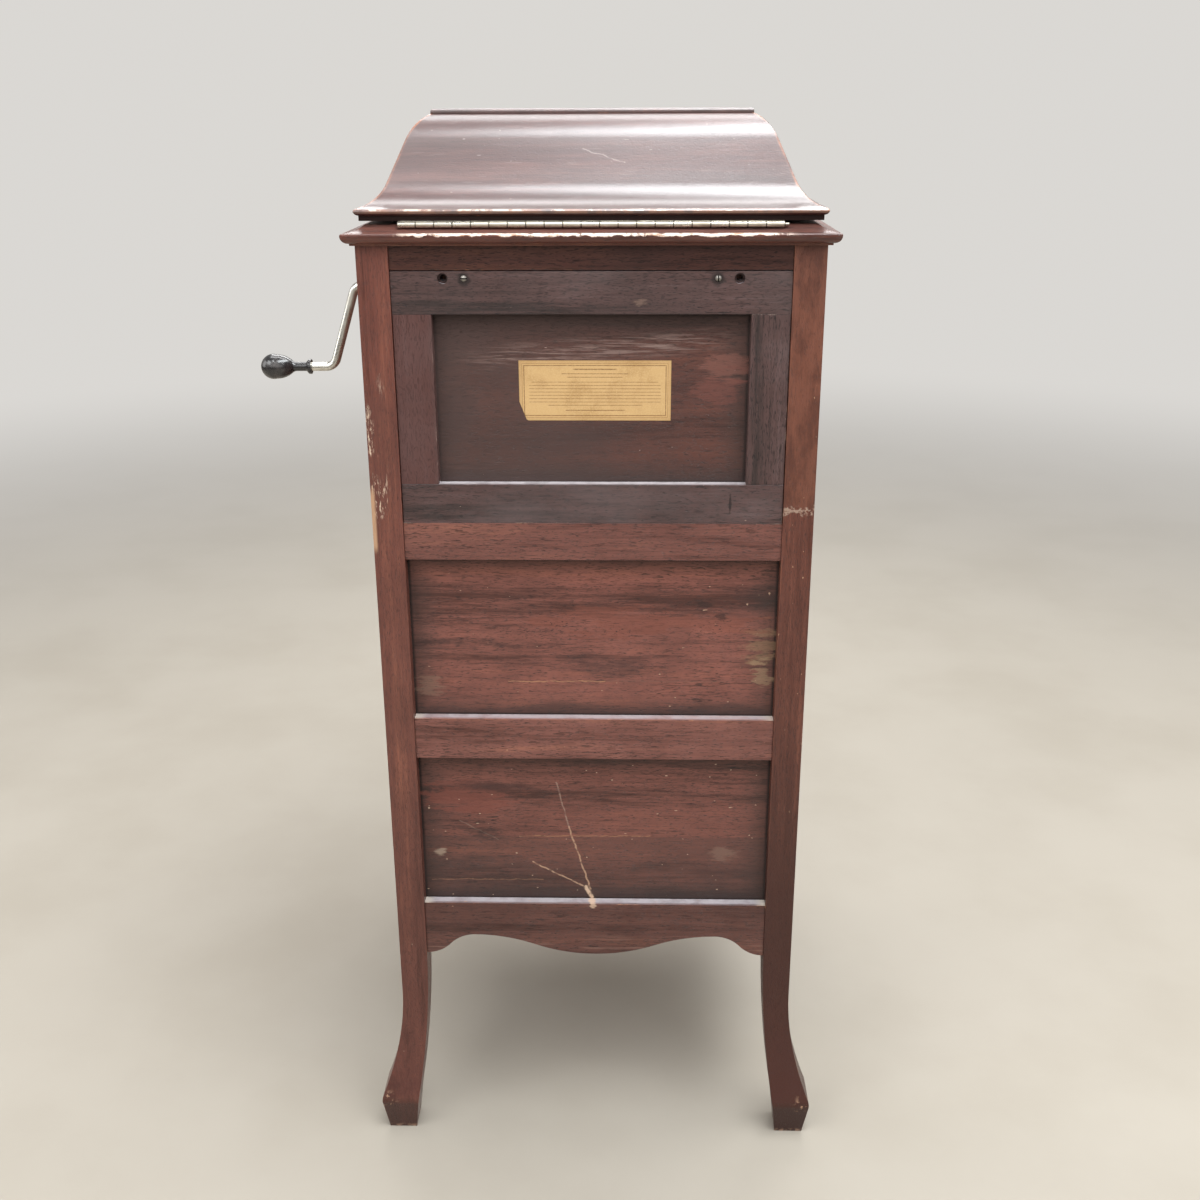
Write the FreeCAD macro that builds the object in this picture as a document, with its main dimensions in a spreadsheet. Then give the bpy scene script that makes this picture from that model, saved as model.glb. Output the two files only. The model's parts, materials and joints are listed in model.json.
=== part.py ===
import FreeCAD, Part
import math
import os
import Sketcher

# Upright wind-up gramophone cabinet. Millimetres and degrees. The origin is on the floor under the
# middle of the case; +X is the crank side, -Y the front with the doors, +Z is up.
SIZES = {
    # case: corner posts, and the levels of the back rails above the floor
    "case_width": 460,
    "case_depth": 520,
    "post_side": 32,
    "post_top": 1047,
    "apron_top_share": 0.2898,
    "lower_rail_share": 0.4686,
    "lower_rail_height": 48.8,
    "middle_rail_share": 0.6915,
    "middle_rail_height": 40.8,
    "top_rail_height": 24,
    "horn_drop": 55,
    "rail_setback": 2,
    "rail_thick": 22,
    "fit_gap": 0.5,
    "running_gap": 0.05,
    "overrun": 5,
    # leg and foot below the post, as sawn from two sides
    "leg_over_apron": 2,
    "leg_inner_radius": 1300,
    "heel_in": 16,
    "heel_height": 40,
    "sole_in": 20.5,
    "sole_out": 21,
    "toe_out": 27.5,
    "toe_height": 41,
    "flare_mid_out": 26.6,
    "flare_mid": 48,
    "flare_start": 180,
    # shaped lower edge of the aprons
    "apron_height": 68.4,
    "apron_rise": 25.3,
    "arch_share": 0.71,
    # recessed panels and their grooves
    "panel_recess": 13,
    "panel_thick": 6,
    "groove_depth": 8,
    "tongue": 7,
    "groove_play": 0.2,
    # access frame and its holes and screws
    "access_gap": 1,
    "access_rail": 41.6,
    "access_stile": 39,
    "access_hole_out": 146,
    "access_hole_down": 6.8,
    "access_hole_radius": 3.25,
    "counterbore_radius": 5.25,
    "counterbore_depth": 6,
    "screw_out": 125,
    "screw_radius": 2,
    "screw_length": 34,
    "screw_head_radius": 3.2,
    "screw_head_rise": 2,
    "screw_slot_width": 0.8,
    "screw_slot_depth": 0.9,
    # side panels
    "side_setback": 6,
    "side_thick": 18,
    "housing_depth": 5,
    "ledge_depth": 8,
    # boards inside
    "board_thick": 18,
    "board_drop": 21,
    "floor_thick": 14,
    "shelf_thick": 12,
    # doors and their pivots and knobs
    "door_thick": 18,
    "door_gap": 1.5,
    "pivot_gap": 0.8,
    "pivot_radius": 2,
    "pivot_reach": 8,
    "knob_in": 22,
    "knob_radius": 10,
    "knob_foot_radius": 7,
    "knob_foot": 2.5,
    "knob_neck_radius": 4.5,
    "knob_neck": 7,
    "knob_length": 20,
    # case-top moulding
    "top_overhang": 12,
    "top_foot_overhang": 4.5,
    "top_lip": 2,
    "top_ovolo_radius": 7.4,
    "top_nose_height": 9.2,
    "top_nose_radius": 2,
    "top_nose_back": 1.4,
    "top_nose_rise": 2.4,
    "top_slope_radius": 36,
    "top_flat_inset": 9,
    "top_height": 19,
    # lid: coved boards mitred at the hips, with a raised top panel
    "lid_gap": 3.7,
    "lid_wall_inset": 26,
    "lid_foot_inset": 4.5,
    "lid_foot_height": 5,
    "lid_nose_height": 9.4,
    "lid_nose_radius": 5,
    "lid_cove_radius": 40.4,
    "lid_cove_low": 11.13,
    "lid_cove_start_angle": 12.7,
    "lid_ledge": 1.33,
    "lid_slope_angle": 65.8,
    "lid_shoulder_radius": 46.2,
    "lid_crown_angle": 25.4,
    "lid_thick": 13,
    "lid_height": 97.4,
    "lid_plate_lap": 4,
    "lid_plate_thick": 4.4,
    "lid_plate_round": 2.4,
    # long lid hinge
    "hinge_length": 375,
    "hinge_knuckles": 21,
    "hinge_radius": 3,
    "hinge_pin_radius": 1.5,
    "hinge_pin_tail": 4,
    "hinge_leaf_width": 15,
    "hinge_leaf_thick": 1.2,
    "hinge_inset": 2.5,
    "hinge_rise": 0.3,
    "hinge_play": 0.4,
    # lid stay: slotted arm on a stud in the lid, sliding on a screw in the case
    "stay_radius": 110,
    "stay_lid_angle": 4,
    "stay_case_angle": 17,
    "lid_opening_angle": 75,
    "stay_width": 12,
    "stay_thick": 2,
    "stay_side_gap": 1.5,
    "stay_screw_radius": 2.9,
    "stay_head_radius": 5.5,
    "stay_head_thick": 1.7,
    "stay_slot_play": 0.3,
    "stay_stud_radius": 3,
    "stay_stud_depth": 8,
    "stay_end": 8,
    "stay_notch_front": 30,
    "stay_notch_back": 18,
    "stay_notch_depth": 22,
    # crank and grip
    "crank_y": 60,
    "crank_drop": 23,
    "crank_throw": 92.5,
    "crank_lean_angle": 72,
    "crank_reach": 48,
    "crank_entry": 46,
    "crank_bend_radius": 13,
    "crank_tail": 17,
    "crank_radius": 5,
    "crank_core_radius": 3.2,
    "crank_hole_radius": 7,
    "grip_length": 58.5,
    "grip_radius": 13.9,
    "grip_neck_radius": 5.2,
    "grip_flange_radius": 8.5,
    "grip_flange": 3,
    "grip_neck_start": 6,
    "grip_neck_end": 17,
    "grip_flank_radius": 7.2,
    "grip_flank_at": 22.5,
    "grip_bulge_at": 40.5,
    "grip_wall": 8,
    "escutcheon_radius": 17,
    "escutcheon_bore": 6.2,
    "escutcheon_thick": 3,
    "escutcheon_edge": 1.2,
    # spring motor under the motor board
    "gear_module": 1.5,
    "pinion_teeth": 12,
    "gear_teeth": 48,
    "tooth_top_share": 0.75,
    "tooth_root_share": 1.2,
    "gap_top_share": 1.45,
    "gap_root_share": 0.55,
    "gear_start": 78,
    "gear_thick": 9,
    "arbor_radius": 5,
    "barrel_radius": 31,
    "barrel_start": -32,
    "barrel_end": 75,
    "barrel_wall": 2.5,
    "cheek_gap": 3,
    "cheek_thick": 6,
    "cheek_half": 20,
    "cheek_below": 14,
    "bed_thick": 7,
    "bed_front": 62,
    "bed_side": 12,
    # turntable
    "spindle_x": -8,
    "spindle_y": -32,
    "spindle_radius": 3.6,
    "spindle_above": 12,
    "spindle_below": 60,
    "spindle_collar_radius": 8,
    "spindle_collar": 6,
    "spindle_hole_radius": 12,
    "platter_radius": 152,
    "platter_lift": 10,
    "platter_height": 14,
    "platter_skirt": 2,
    "platter_plate": 4,
    "platter_rim": 3,
    "platter_edge": 3,
    "platter_hub_radius": 14,
    # horn elbow, horn and louvres
    "arm_side_gap": 128,
    "arm_back_gap": 63,
    "elbow_radius": 20,
    "elbow_bend": 50,
    "throat_share": 0.389,
    "elbow_flange_radius": 34,
    "elbow_flange_thick": 5,
    "elbow_collar": 35,
    "horn_setback": 6,
    "horn_wall": 8,
    "horn_throat": 56,
    "louvre_thick": 8,
    "louvre_depth": 24,
    "louvre_count": 3,
    # tone arm, goose-neck and sound box
    "park_angle": -65.2,
    "arm_riser": 13,
    "arm_seat": 2,
    "arm_bend": 22,
    "arm_root_radius": 15,
    "arm_tip_radius": 10.5,
    "arm_length": 128,
    "arm_wall": 1.5,
    "arm_tip_bend": 16,
    "neck_radius": 9,
    "neck_wall": 1.2,
    "neck_bend": 23,
    "neck_leg": 12,
    "neck_play": 0.3,
    "box_radius": 28,
    "box_thick": 16,
    "box_rim": 5,
    "box_recess": 3,
    "needle_bar": 4,
    "needle_length": 9.5,
    "needle_radius": 0.9,
    "needle_lift": 3.5,
    # brake lever and speed knob on the motor board
    "brake_angle": -41,
    "brake_reach": 28,
    "brake_boss_radius": 7,
    "brake_height": 14,
    "brake_bar_width": 8,
    "brake_bar_thick": 4,
    "brake_tail": 30,
    "brake_pad_thick": 6,
    "brake_pad_rise": 6,
    "brake_pad_gap": 0.5,
    "speed_side_gap": 48,
    "speed_front_gap": 38,
    "speed_radius": 10,
    "speed_height": 13,
    "speed_plate_radius": 17,
    "speed_plate_thick": 2,
}

RIGHT = FreeCAD.Vector(1, 0, 0)
BACK = FreeCAD.Vector(0, 1, 0)
UP = FreeCAD.Vector(0, 0, 1)
ZERO_TEXT = "0"

os.makedirs("parts", exist_ok=True)
doc = FreeCAD.newDocument("gramophone")
sheet = doc.addObject("Spreadsheet::Sheet", "Sizes")


class Size:
    """A number together with the sheet expression that gives it."""

    def __init__(self, value, text):
        self.value = value
        self.text = text

    def __add__(self, other):
        other = as_size(other)
        return Size(self.value + other.value, f"({self.text} + {other.text})")

    def __sub__(self, other):
        other = as_size(other)
        return Size(self.value - other.value, f"({self.text} - {other.text})")

    def __mul__(self, other):
        other = as_size(other)
        return Size(self.value * other.value, f"({self.text} * {other.text})")

    def __truediv__(self, other):
        other = as_size(other)
        return Size(self.value / other.value, f"({self.text} / {other.text})")

    def __rsub__(self, other):
        return as_size(other) - self

    def __rtruediv__(self, other):
        return as_size(other) / self

    def __neg__(self):
        return Size(-self.value, f"(-1 * {self.text})")

    __radd__ = __add__
    __rmul__ = __mul__


def as_size(number):
    if isinstance(number, Size):
        return number
    return Size(float(number), str(number))


def sine(angle):
    return Size(math.sin(math.radians(angle.value)), f"sin({angle.text})")


def cosine(angle):
    return Size(math.cos(math.radians(angle.value)), f"cos({angle.text})")


def tangent(angle):
    return Size(math.tan(math.radians(angle.value)), f"tan({angle.text})")


def root(number):
    return Size(math.sqrt(number.value), f"sqrt({number.text})")


def dome(half_span, rise):
    """Radius of the round end that rises so far over such a half span."""
    return (half_span * half_span + rise * rise) / (2 * rise)


class Sheet:
    """The driving sizes by name, each bound to its cell in the spreadsheet."""


s = Sheet()
for row, (name, value) in enumerate(SIZES.items(), start=1):
    sheet.set(f"A{row}", name)
    sheet.set(f"B{row}", str(value))
    sheet.setAlias(f"B{row}", name)
    setattr(s, name, Size(float(value), f"Sizes.{name}"))
doc.recompute()

pieces = []


def keep(label, shape):
    """Names a finished sub-part, so that it is written out under that name."""
    shape.Label = label
    pieces.append(shape)
    return shape


def bind(shape, sizes):
    for name, size in sizes.items():
        shape.setExpression(name, as_size(size).text)


def place(shape, origin, across=RIGHT, along=BACK):
    """Lays the shape's own x along `across` and its y along `along`, with its origin at `origin`."""
    origin = [as_size(part) for part in origin]
    turn = FreeCAD.Rotation(across, along, across.cross(along), "XYZ")
    shape.Placement = FreeCAD.Placement(FreeCAD.Vector(*[part.value for part in origin]), turn)
    for axis, part in zip("xyz", origin):
        shape.setExpression(f"Placement.Base.{axis}", part.text)
    return shape


def heading(angle):
    """Direction in plan, and the one square to it, for a turn about the vertical."""
    turn = FreeCAD.Rotation(UP, angle)
    return turn.multVec(RIGHT), turn.multVec(BACK)


def board(low, high):
    """Square-edged board between two opposite corners."""
    shape = doc.addObject("Part::Box", "board")
    spans = [as_size(top) - as_size(bottom) for bottom, top in zip(low, high)]
    bind(shape, dict(zip(("Length", "Width", "Height"), spans)))
    return place(shape, low)


def rod(radius, start, axis, length):
    shape = doc.addObject("Part::Cylinder", "rod")
    bind(shape, {"Radius": radius, "Height": length})
    place(shape, start)
    shape.Placement = FreeCAD.Placement(shape.Placement.Base, FreeCAD.Rotation(UP, axis))
    return shape


def taper(radius_first, radius_last, start, axis, length):
    shape = doc.addObject("Part::Cone", "taper")
    bind(shape, {"Radius1": radius_first, "Radius2": radius_last, "Height": length})
    place(shape, start)
    shape.Placement = FreeCAD.Placement(shape.Placement.Base, FreeCAD.Rotation(UP, axis))
    return shape


def bend(ring, radius, centre, first, last, angle=90):
    """Bent tube about `centre`, from the side that `first` points to, round towards `last`."""
    shape = doc.addObject("Part::Torus", "bend")
    bind(shape, {"Radius1": ring, "Radius2": radius})
    shape.Angle3 = angle
    return place(shape, centre, first, last)


def joined(shapes):
    shape = doc.addObject("Part::MultiFuse", "joined")
    shape.Shapes = shapes
    return shape


def cut(base, tools):
    shape = doc.addObject("Part::Cut", "cut")
    shape.Base = base
    shape.Tool = tools[0] if len(tools) == 1 else joined(tools)
    return shape


def overlap(first, second):
    shape = doc.addObject("Part::Common", "overlap")
    shape.Base = first
    shape.Tool = second
    return shape


def group(shapes):
    shape = doc.addObject("Part::Compound", "group")
    shape.Links = shapes
    return shape


def pin_point(sketch, element, end, point):
    """Ties one end of an outline's element to its distances from the sketch's origin."""
    for kind, own_axis, size in (("DistanceX", -2, point[0]), ("DistanceY", -1, point[1])):
        if size.text == ZERO_TEXT:
            sketch.addConstraint(Sketcher.Constraint("PointOnObject", element, end, own_axis))
            continue
        if size.value < 0:
            size = -size
            number = sketch.addConstraint(Sketcher.Constraint(kind, element, end, -1, 1, size.value))
        else:
            number = sketch.addConstraint(Sketcher.Constraint(kind, -1, 1, element, end, size.value))
        sketch.setExpression(f"Constraints[{number}]", size.text)


def draw(sketch, corners, closed=True):
    """Outline through corners (x, y, arc); arc gives radius and side of the centre, +1 on the left."""
    corners = [(as_size(x), as_size(y), arc) for x, y, arc in corners]
    ends = []
    sides = corners if closed else corners[:-1]
    for index, (x, y, arc) in enumerate(sides):
        next_x, next_y, _ = corners[(index + 1) % len(corners)]
        start = FreeCAD.Vector(x.value, y.value, 0)
        finish = FreeCAD.Vector(next_x.value, next_y.value, 0)
        if arc is None:
            ends.append((sketch.addGeometry(Part.LineSegment(start, finish)), 1, 2))
            continue
        radius, side = arc
        chord = finish - start
        reach = math.sqrt(max(radius.value ** 2 - (chord.Length / 2) ** 2, 0))
        middle = (start + finish) / 2
        centre = middle + FreeCAD.Vector(-chord.y, chord.x, 0).normalize() * (reach * side)
        first, last = (start, finish) if side > 0 else (finish, start)
        circle = Part.Circle(centre, UP, radius.value)
        begin = math.atan2(first.y - centre.y, first.x - centre.x)
        stop = math.atan2(last.y - centre.y, last.x - centre.x)
        element = sketch.addGeometry(Part.ArcOfCircle(circle, begin, stop))
        number = sketch.addConstraint(Sketcher.Constraint("Radius", element, radius.value))
        sketch.setExpression(f"Constraints[{number}]", radius.text)
        ends.append((element, 1, 2) if side > 0 else (element, 2, 1))
    for index, (element, begin, stop) in enumerate(ends):
        pin_point(sketch, element, begin, corners[index])
        if closed or index + 1 < len(ends):
            next_element, next_begin, _ = ends[(index + 1) % len(ends)]
            sketch.addConstraint(Sketcher.Constraint("Coincident", element, stop, next_element, next_begin))
        else:
            pin_point(sketch, element, stop, corners[-1])


def draw_circle(sketch, radius):
    rim = sketch.addGeometry(Part.Circle(FreeCAD.Vector(0, 0, 0), UP, radius.value))
    sketch.addConstraint(Sketcher.Constraint("Coincident", rim, 3, -1, 1))
    number = sketch.addConstraint(Sketcher.Constraint("Radius", rim, radius.value))
    sketch.setExpression(f"Constraints[{number}]", radius.text)


def new_sketch(body, plane="XY_Plane"):
    sketch = body.newObject("Sketcher::SketchObject", "outline")
    support = [part for part in body.Origin.OriginFeatures if part.Role == plane][0]
    sketch.AttachmentSupport = [(support, "")]
    sketch.MapMode = "FlatFace"
    return sketch


def padded(corners, depth):
    """Body with the outline in its own x-y plane, grown along its own z."""
    body = doc.addObject("PartDesign::Body", "body")
    sketch = new_sketch(body)
    draw(sketch, corners)
    pad = body.newObject("PartDesign::Pad", "pad")
    pad.Profile = sketch
    bind(pad, {"Length": depth})
    return body


def turned(corners):
    """Body turned about its own y from an outline of radius and height."""
    body = doc.addObject("PartDesign::Body", "body")
    sketch = new_sketch(body)
    draw(sketch, corners)
    lathe = body.newObject("PartDesign::Revolution", "lathe")
    lathe.Profile = sketch
    lathe.ReferenceAxis = (sketch, ["V_Axis"])
    return body


def mitred(corners, reach, height, length):
    """Moulded length with both ends mitred: own x points outwards, y up and z along the length."""
    blank = padded(corners, length)
    ends = doc.addObject("Part::Wedge", "mitre")
    bind(ends, {
        "Ymin": 0, "Xmin": reach, "Xmax": length - reach, "Zmin": -s.overrun, "Zmax": height + s.overrun,
        "Ymax": reach, "X2min": 0, "X2max": length, "Z2min": -s.overrun, "Z2max": height + s.overrun,
    })
    place(ends, (0, 0, 0), UP, RIGHT)
    return overlap(blank, ends)


def gear(teeth, thick):
    """Spur gear on its own z axis, with a tooth gap on its own +y."""
    pitch_radius = s.gear_module * teeth / 2
    top = pitch_radius + s.gear_module * s.tooth_top_share
    bottom = pitch_radius - s.gear_module * s.tooth_root_share
    body = doc.addObject("PartDesign::Body", "gear")
    disc_sketch = new_sketch(body)
    draw_circle(disc_sketch, top)
    disc = body.newObject("PartDesign::Pad", "disc")
    disc.Profile = disc_sketch
    bind(disc, {"Length": thick})
    gap_sketch = new_sketch(body)
    half_top = s.gear_module * s.gap_top_share
    half_bottom = s.gear_module * s.gap_root_share
    draw(gap_sketch, [
        (-half_bottom, bottom, None),
        (half_bottom, bottom, None),
        (half_top, top + s.gear_module * s.tooth_top_share / 2, None),
        (-half_top, top + s.gear_module * s.tooth_top_share / 2, None),
    ])
    gap = body.newObject("PartDesign::Pocket", "gap")
    gap.Profile = gap_sketch
    gap.Type = "ThroughAll"
    gap.Midplane = True
    pattern = body.newObject("PartDesign::PolarPattern", "teeth")
    pattern.Originals = [gap]
    pattern.Axis = (gap_sketch, ["N_Axis"])
    pattern.Angle = 360
    pattern.setExpression("Occurrences", teeth.text)
    body.Tip = pattern
    return body


# Levels and faces that many pieces share.
half_width = s.case_width / 2
half_depth = s.case_depth / 2
inner_x = half_width - s.post_side
inner_y = half_depth - s.post_side
rail_face = half_depth - s.rail_setback
rail_back = rail_face - s.rail_thick
apron_top = s.post_top * s.apron_top_share
apron_low = apron_top - s.apron_height
lower_rail_low = s.post_top * s.lower_rail_share
lower_rail_top = lower_rail_low + s.lower_rail_height
middle_rail_low = s.post_top * s.middle_rail_share
middle_rail_top = middle_rail_low + s.middle_rail_height
top_rail_low = s.post_top - s.top_rail_height
side_face = half_width - s.side_setback
side_inner = side_face - s.side_thick
board_top = s.post_top - s.board_drop
board_low = board_top - s.board_thick
horn_top = board_low - s.horn_drop
case_top = s.post_top + s.top_height
panel_face = rail_face - s.panel_recess
panel_back = panel_face - s.panel_thick
groove_low = panel_back - s.groove_play
groove_high = panel_face + s.groove_play
door_low_y = s.door_thick - rail_face
door_middle_y = s.door_thick / 2 - rail_face
crank_z = board_low - s.crank_drop
arm_x = inner_x - s.arm_side_gap
arm_y = inner_y - s.arm_back_gap


# Corner posts. Each runs from the case top into a square foot, sawn to one curve on two faces.
def post():
    reach = s.post_side + s.toe_out
    flare_fall = s.flare_start - s.flare_mid
    flare_radius = dome(flare_fall, s.flare_mid_out)
    toe_step = s.toe_out - s.flare_mid_out
    toe_fall = s.flare_mid - s.toe_height
    toe_radius = dome(toe_fall, toe_step)
    corners = [
        (0, apron_low + s.leg_over_apron, (s.leg_inner_radius, 1)),
        (s.heel_in, s.heel_height, None),
        (s.sole_in, 0, None),
        (s.post_side + s.sole_out, 0, None),
        (reach, s.toe_height, (toe_radius, 1)),
        (s.post_side + s.flare_mid_out, s.flare_mid, (flare_radius, -1)),
        (s.post_side, s.flare_start, None),
        (s.post_side, s.post_top, None),
        (0, s.post_top, None),
    ]
    across = place(padded(corners, reach), (0, reach, 0), RIGHT, UP)
    along = place(padded(corners, reach), (0, 0, 0), BACK, UP)
    return overlap(across, along)


for label, side_x, side_y, turn in (
    ("rear_right_post", 1, 1, 0),
    ("rear_left_post", -1, 1, 90),
    ("front_left_post", -1, -1, 180),
    ("front_right_post", 1, -1, 270),
):
    place(keep(label, post()), (inner_x * side_x, inner_y * side_y, 0), *heading(turn))


# Boards with a shaped lower edge: two arches and a dip in the middle, all of smooth double curves.
def shaped(half_span, height):
    peak = half_span * (1 - s.arch_share)
    half_rise = s.apron_rise / 2
    outer = dome(peak / 2, half_rise)
    inner = dome((half_span - peak) / 2, half_rise)
    return [
        (0, 0, (outer, 1)),
        (peak / 2, half_rise, (outer, -1)),
        (peak, s.apron_rise, (inner, -1)),
        ((peak + half_span) / 2, half_rise, (inner, 1)),
        (half_span, 0, (inner, 1)),
        ((3 * half_span - peak) / 2, half_rise, (inner, -1)),
        (2 * half_span - peak, s.apron_rise, (outer, -1)),
        (2 * half_span - peak / 2, half_rise, (outer, 1)),
        (2 * half_span, 0, None),
        (2 * half_span, height, None),
        (0, height, None),
    ]


def panel_groove(low, high):
    return board((-inner_x - s.overrun, groove_low, low), (inner_x + s.overrun, groove_high, high))


back_apron = padded(shaped(inner_x, s.apron_height), s.rail_thick)
back_apron = place(back_apron, (-inner_x, rail_face, apron_low), RIGHT, UP)
keep("back_apron", cut(back_apron, [panel_groove(apron_top - s.groove_depth, apron_top + s.overrun)]))
front_apron = padded(shaped(inner_x, s.apron_height), s.rail_thick)
front_apron = place(front_apron, (-inner_x, -rail_back, apron_low), RIGHT, UP)

# Back rails, grooved for the two fixed panels.
keep("back_top_rail", board((-inner_x, rail_back, top_rail_low), (inner_x, rail_face, s.post_top)))
middle_rail = board((-inner_x, rail_back, middle_rail_low), (inner_x, rail_face, middle_rail_top))
keep("back_middle_rail", cut(middle_rail, [
    panel_groove(middle_rail_low - s.overrun, middle_rail_low + s.groove_depth),
]))
lower_rail = board((-inner_x, rail_back, lower_rail_low), (inner_x, rail_face, lower_rail_top))
keep("back_lower_rail", cut(lower_rail, [
    panel_groove(lower_rail_low - s.overrun, lower_rail_low + s.groove_depth),
    panel_groove(lower_rail_top - s.groove_depth, lower_rail_top + s.overrun),
]))
for label, low, high in (
    ("back_upper_panel", lower_rail_top, middle_rail_low),
    ("back_lower_panel", apron_top, lower_rail_low),
):
    keep(label, board((-inner_x, panel_back, low - s.groove_depth), (inner_x, panel_face, high + s.tongue)))

# Access frame of the motor chamber: two rails, two stiles and a recessed board, held by two screws.
access_low = middle_rail_top
access_high = top_rail_low - s.access_gap
access_half = inner_x - s.fit_gap
opening_low = access_low + s.access_rail
opening_high = access_high - s.access_rail
opening_half = access_half - s.access_stile
hole_z = access_high - s.access_hole_down
screw_spots = (-s.screw_out, s.screw_out)


def access_hole(x, radius, depth):
    return rod(radius, (x, rail_face + s.overrun, hole_z), -BACK, depth + s.overrun)


top_tools = [panel_groove(opening_high - s.overrun, opening_high + s.groove_depth)]
for x in (-s.access_hole_out, s.access_hole_out):
    top_tools.append(access_hole(x, s.counterbore_radius, s.counterbore_depth))
    top_tools.append(access_hole(x, s.access_hole_radius, s.rail_thick + s.overrun))
for x in screw_spots:
    top_tools.append(access_hole(x, s.screw_radius + s.running_gap, s.rail_thick + s.overrun))
access_top = board((-access_half, rail_back, opening_high), (access_half, rail_face, access_high))
keep("access_top_rail", cut(access_top, top_tools))
access_bottom = board((-access_half, rail_back, access_low), (access_half, rail_face, opening_low))
keep("access_bottom_rail", cut(access_bottom, [
    panel_groove(opening_low - s.groove_depth, opening_low + s.overrun),
]))
stiles = []
for low_x, high_x in ((-access_half, -opening_half), (opening_half, access_half)):
    stile = board((low_x, rail_back, opening_low), (high_x, rail_face, opening_high))
    groove = board(
        (-opening_half - s.groove_depth, groove_low, opening_low - s.overrun),
        (opening_half + s.groove_depth, groove_high, opening_high + s.overrun),
    )
    stiles.append(cut(stile, [groove]))
keep("access_stiles", group(stiles))
keep("access_panel", board(
    (-opening_half - s.tongue, panel_back, opening_low - s.groove_depth),
    (opening_half + s.tongue, panel_face, opening_high + s.tongue),
))


def slotted_screw(x, across):
    head_top = s.screw_length + s.screw_head_rise
    blank = turned([
        (0, 0, None),
        (s.screw_radius, 0, None),
        (s.screw_radius, s.screw_length, None),
        (s.screw_head_radius, s.screw_length, (dome(s.screw_head_radius, s.screw_head_rise), 1)),
        (0, head_top, None),
    ])
    slot_reach = s.screw_head_radius + s.overrun
    slot = board(
        (-slot_reach, head_top - s.screw_slot_depth, -s.screw_slot_width / 2),
        (slot_reach, head_top + s.overrun, s.screw_slot_width / 2),
    )
    return place(cut(blank, [slot]), (x, rail_face - s.screw_length, hole_z), across, BACK)


keep("access_screws", group([slotted_screw(-s.screw_out, UP), slotted_screw(s.screw_out, RIGHT)]))

# Boards inside the case: storage floor, record shelves and the motor board above the motor chamber.
housed_x = side_inner + s.housing_depth
ledge_x = side_inner + s.ledge_depth
ceiling_low = middle_rail_top - s.shelf_thick
bay = (ceiling_low - apron_top - 2 * s.shelf_thick) / 3
shelf_levels = [
    apron_top + bay,
    apron_top + 2 * bay + s.shelf_thick,
    ceiling_low,
]


def corner_board(half_x, low, high):
    """Board across the whole case, notched round the four posts."""
    half_y = rail_back - s.fit_gap
    notches = []
    for side_x in (-1, 1):
        for side_y in (-1, 1):
            near = ((inner_x - s.fit_gap) * side_x, (inner_y - s.fit_gap) * side_y)
            far = ((half_x + s.overrun) * side_x, (half_y + s.overrun) * side_y)
            (low_x, high_x) = (near[0], far[0]) if side_x > 0 else (far[0], near[0])
            (low_y, high_y) = (near[1], far[1]) if side_y > 0 else (far[1], near[1])
            notches.append(board((low_x, low_y, low - s.overrun), (high_x, high_y, high + s.overrun)))
    return cut(board((-half_x, -half_y, low), (half_x, half_y, high)), notches)


storage_floor_low = apron_top - s.floor_thick
keep("storage_floor", corner_board(housed_x, storage_floor_low, apron_top))
keep("record_shelves", group([corner_board(housed_x, low, low + s.shelf_thick) for low in shelf_levels]))

# Lid stay positions, needed by the motor board, the left side panel and the lid.
lid_low = case_top + s.lid_gap
hinge_y = half_depth - s.hinge_inset
hinge_z = case_top + s.hinge_rise
stud_y = hinge_y - s.stay_radius * cosine(s.stay_lid_angle)
stud_z = hinge_z + s.stay_radius * sine(s.stay_lid_angle)
slide_y = hinge_y - s.stay_radius * cosine(s.stay_case_angle)
slide_z = hinge_z - s.stay_radius * sine(s.stay_case_angle)
stay_x = s.stay_side_gap - inner_x

through = s.board_thick + 2 * s.overrun
board_tools = [
    rod(s.spindle_hole_radius, (s.spindle_x, s.spindle_y, board_low - s.overrun), UP, through),
    rod(s.elbow_radius + s.fit_gap, (arm_x, arm_y, board_low - s.overrun), UP, through),
    board(
        (-ledge_x - s.overrun, slide_y - s.stay_notch_front, board_low - s.overrun),
        (s.stay_notch_depth - ledge_x, slide_y + s.stay_notch_back, board_top + s.overrun),
    ),
]
for x in screw_spots:
    board_tools.append(access_hole(x, s.screw_radius + s.running_gap, s.screw_length))
keep("motor_board", cut(corner_board(ledge_x - s.fit_gap, board_low, board_top), board_tools))


# Side panels: shaped below, housed for the shelves and rebated to carry the motor board.
def side_panel(side):
    outline = shaped(inner_y, s.post_top - apron_low)
    outer = side_face if side > 0 else -side_inner
    blank = place(padded(outline, s.side_thick), (outer - s.side_thick, -inner_y, apron_low), BACK, UP)
    tools = []
    levels = [(storage_floor_low, apron_top)] + [(low, low + s.shelf_thick) for low in shelf_levels]
    for low, high in levels:
        tools.append(board(
            (-housed_x, -inner_y - s.overrun, low),
            (housed_x, inner_y + s.overrun, high),
        ))
    tools.append(board(
        (-ledge_x, -inner_y - s.overrun, board_low),
        (ledge_x, inner_y + s.overrun, s.post_top + s.overrun),
    ))
    if side > 0:
        start = (side_inner - s.overrun, s.crank_y, crank_z)
        tools.append(rod(s.crank_hole_radius, start, RIGHT, s.side_thick + 2 * s.overrun))
    else:
        start = (-ledge_x + s.overrun, slide_y, slide_z)
        tools.append(rod(s.stay_screw_radius + s.running_gap, start, -RIGHT, s.overrun + s.housing_depth))
    return cut(blank, tools)


keep("right_side_panel", side_panel(1))
keep("left_side_panel", side_panel(-1))

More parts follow.
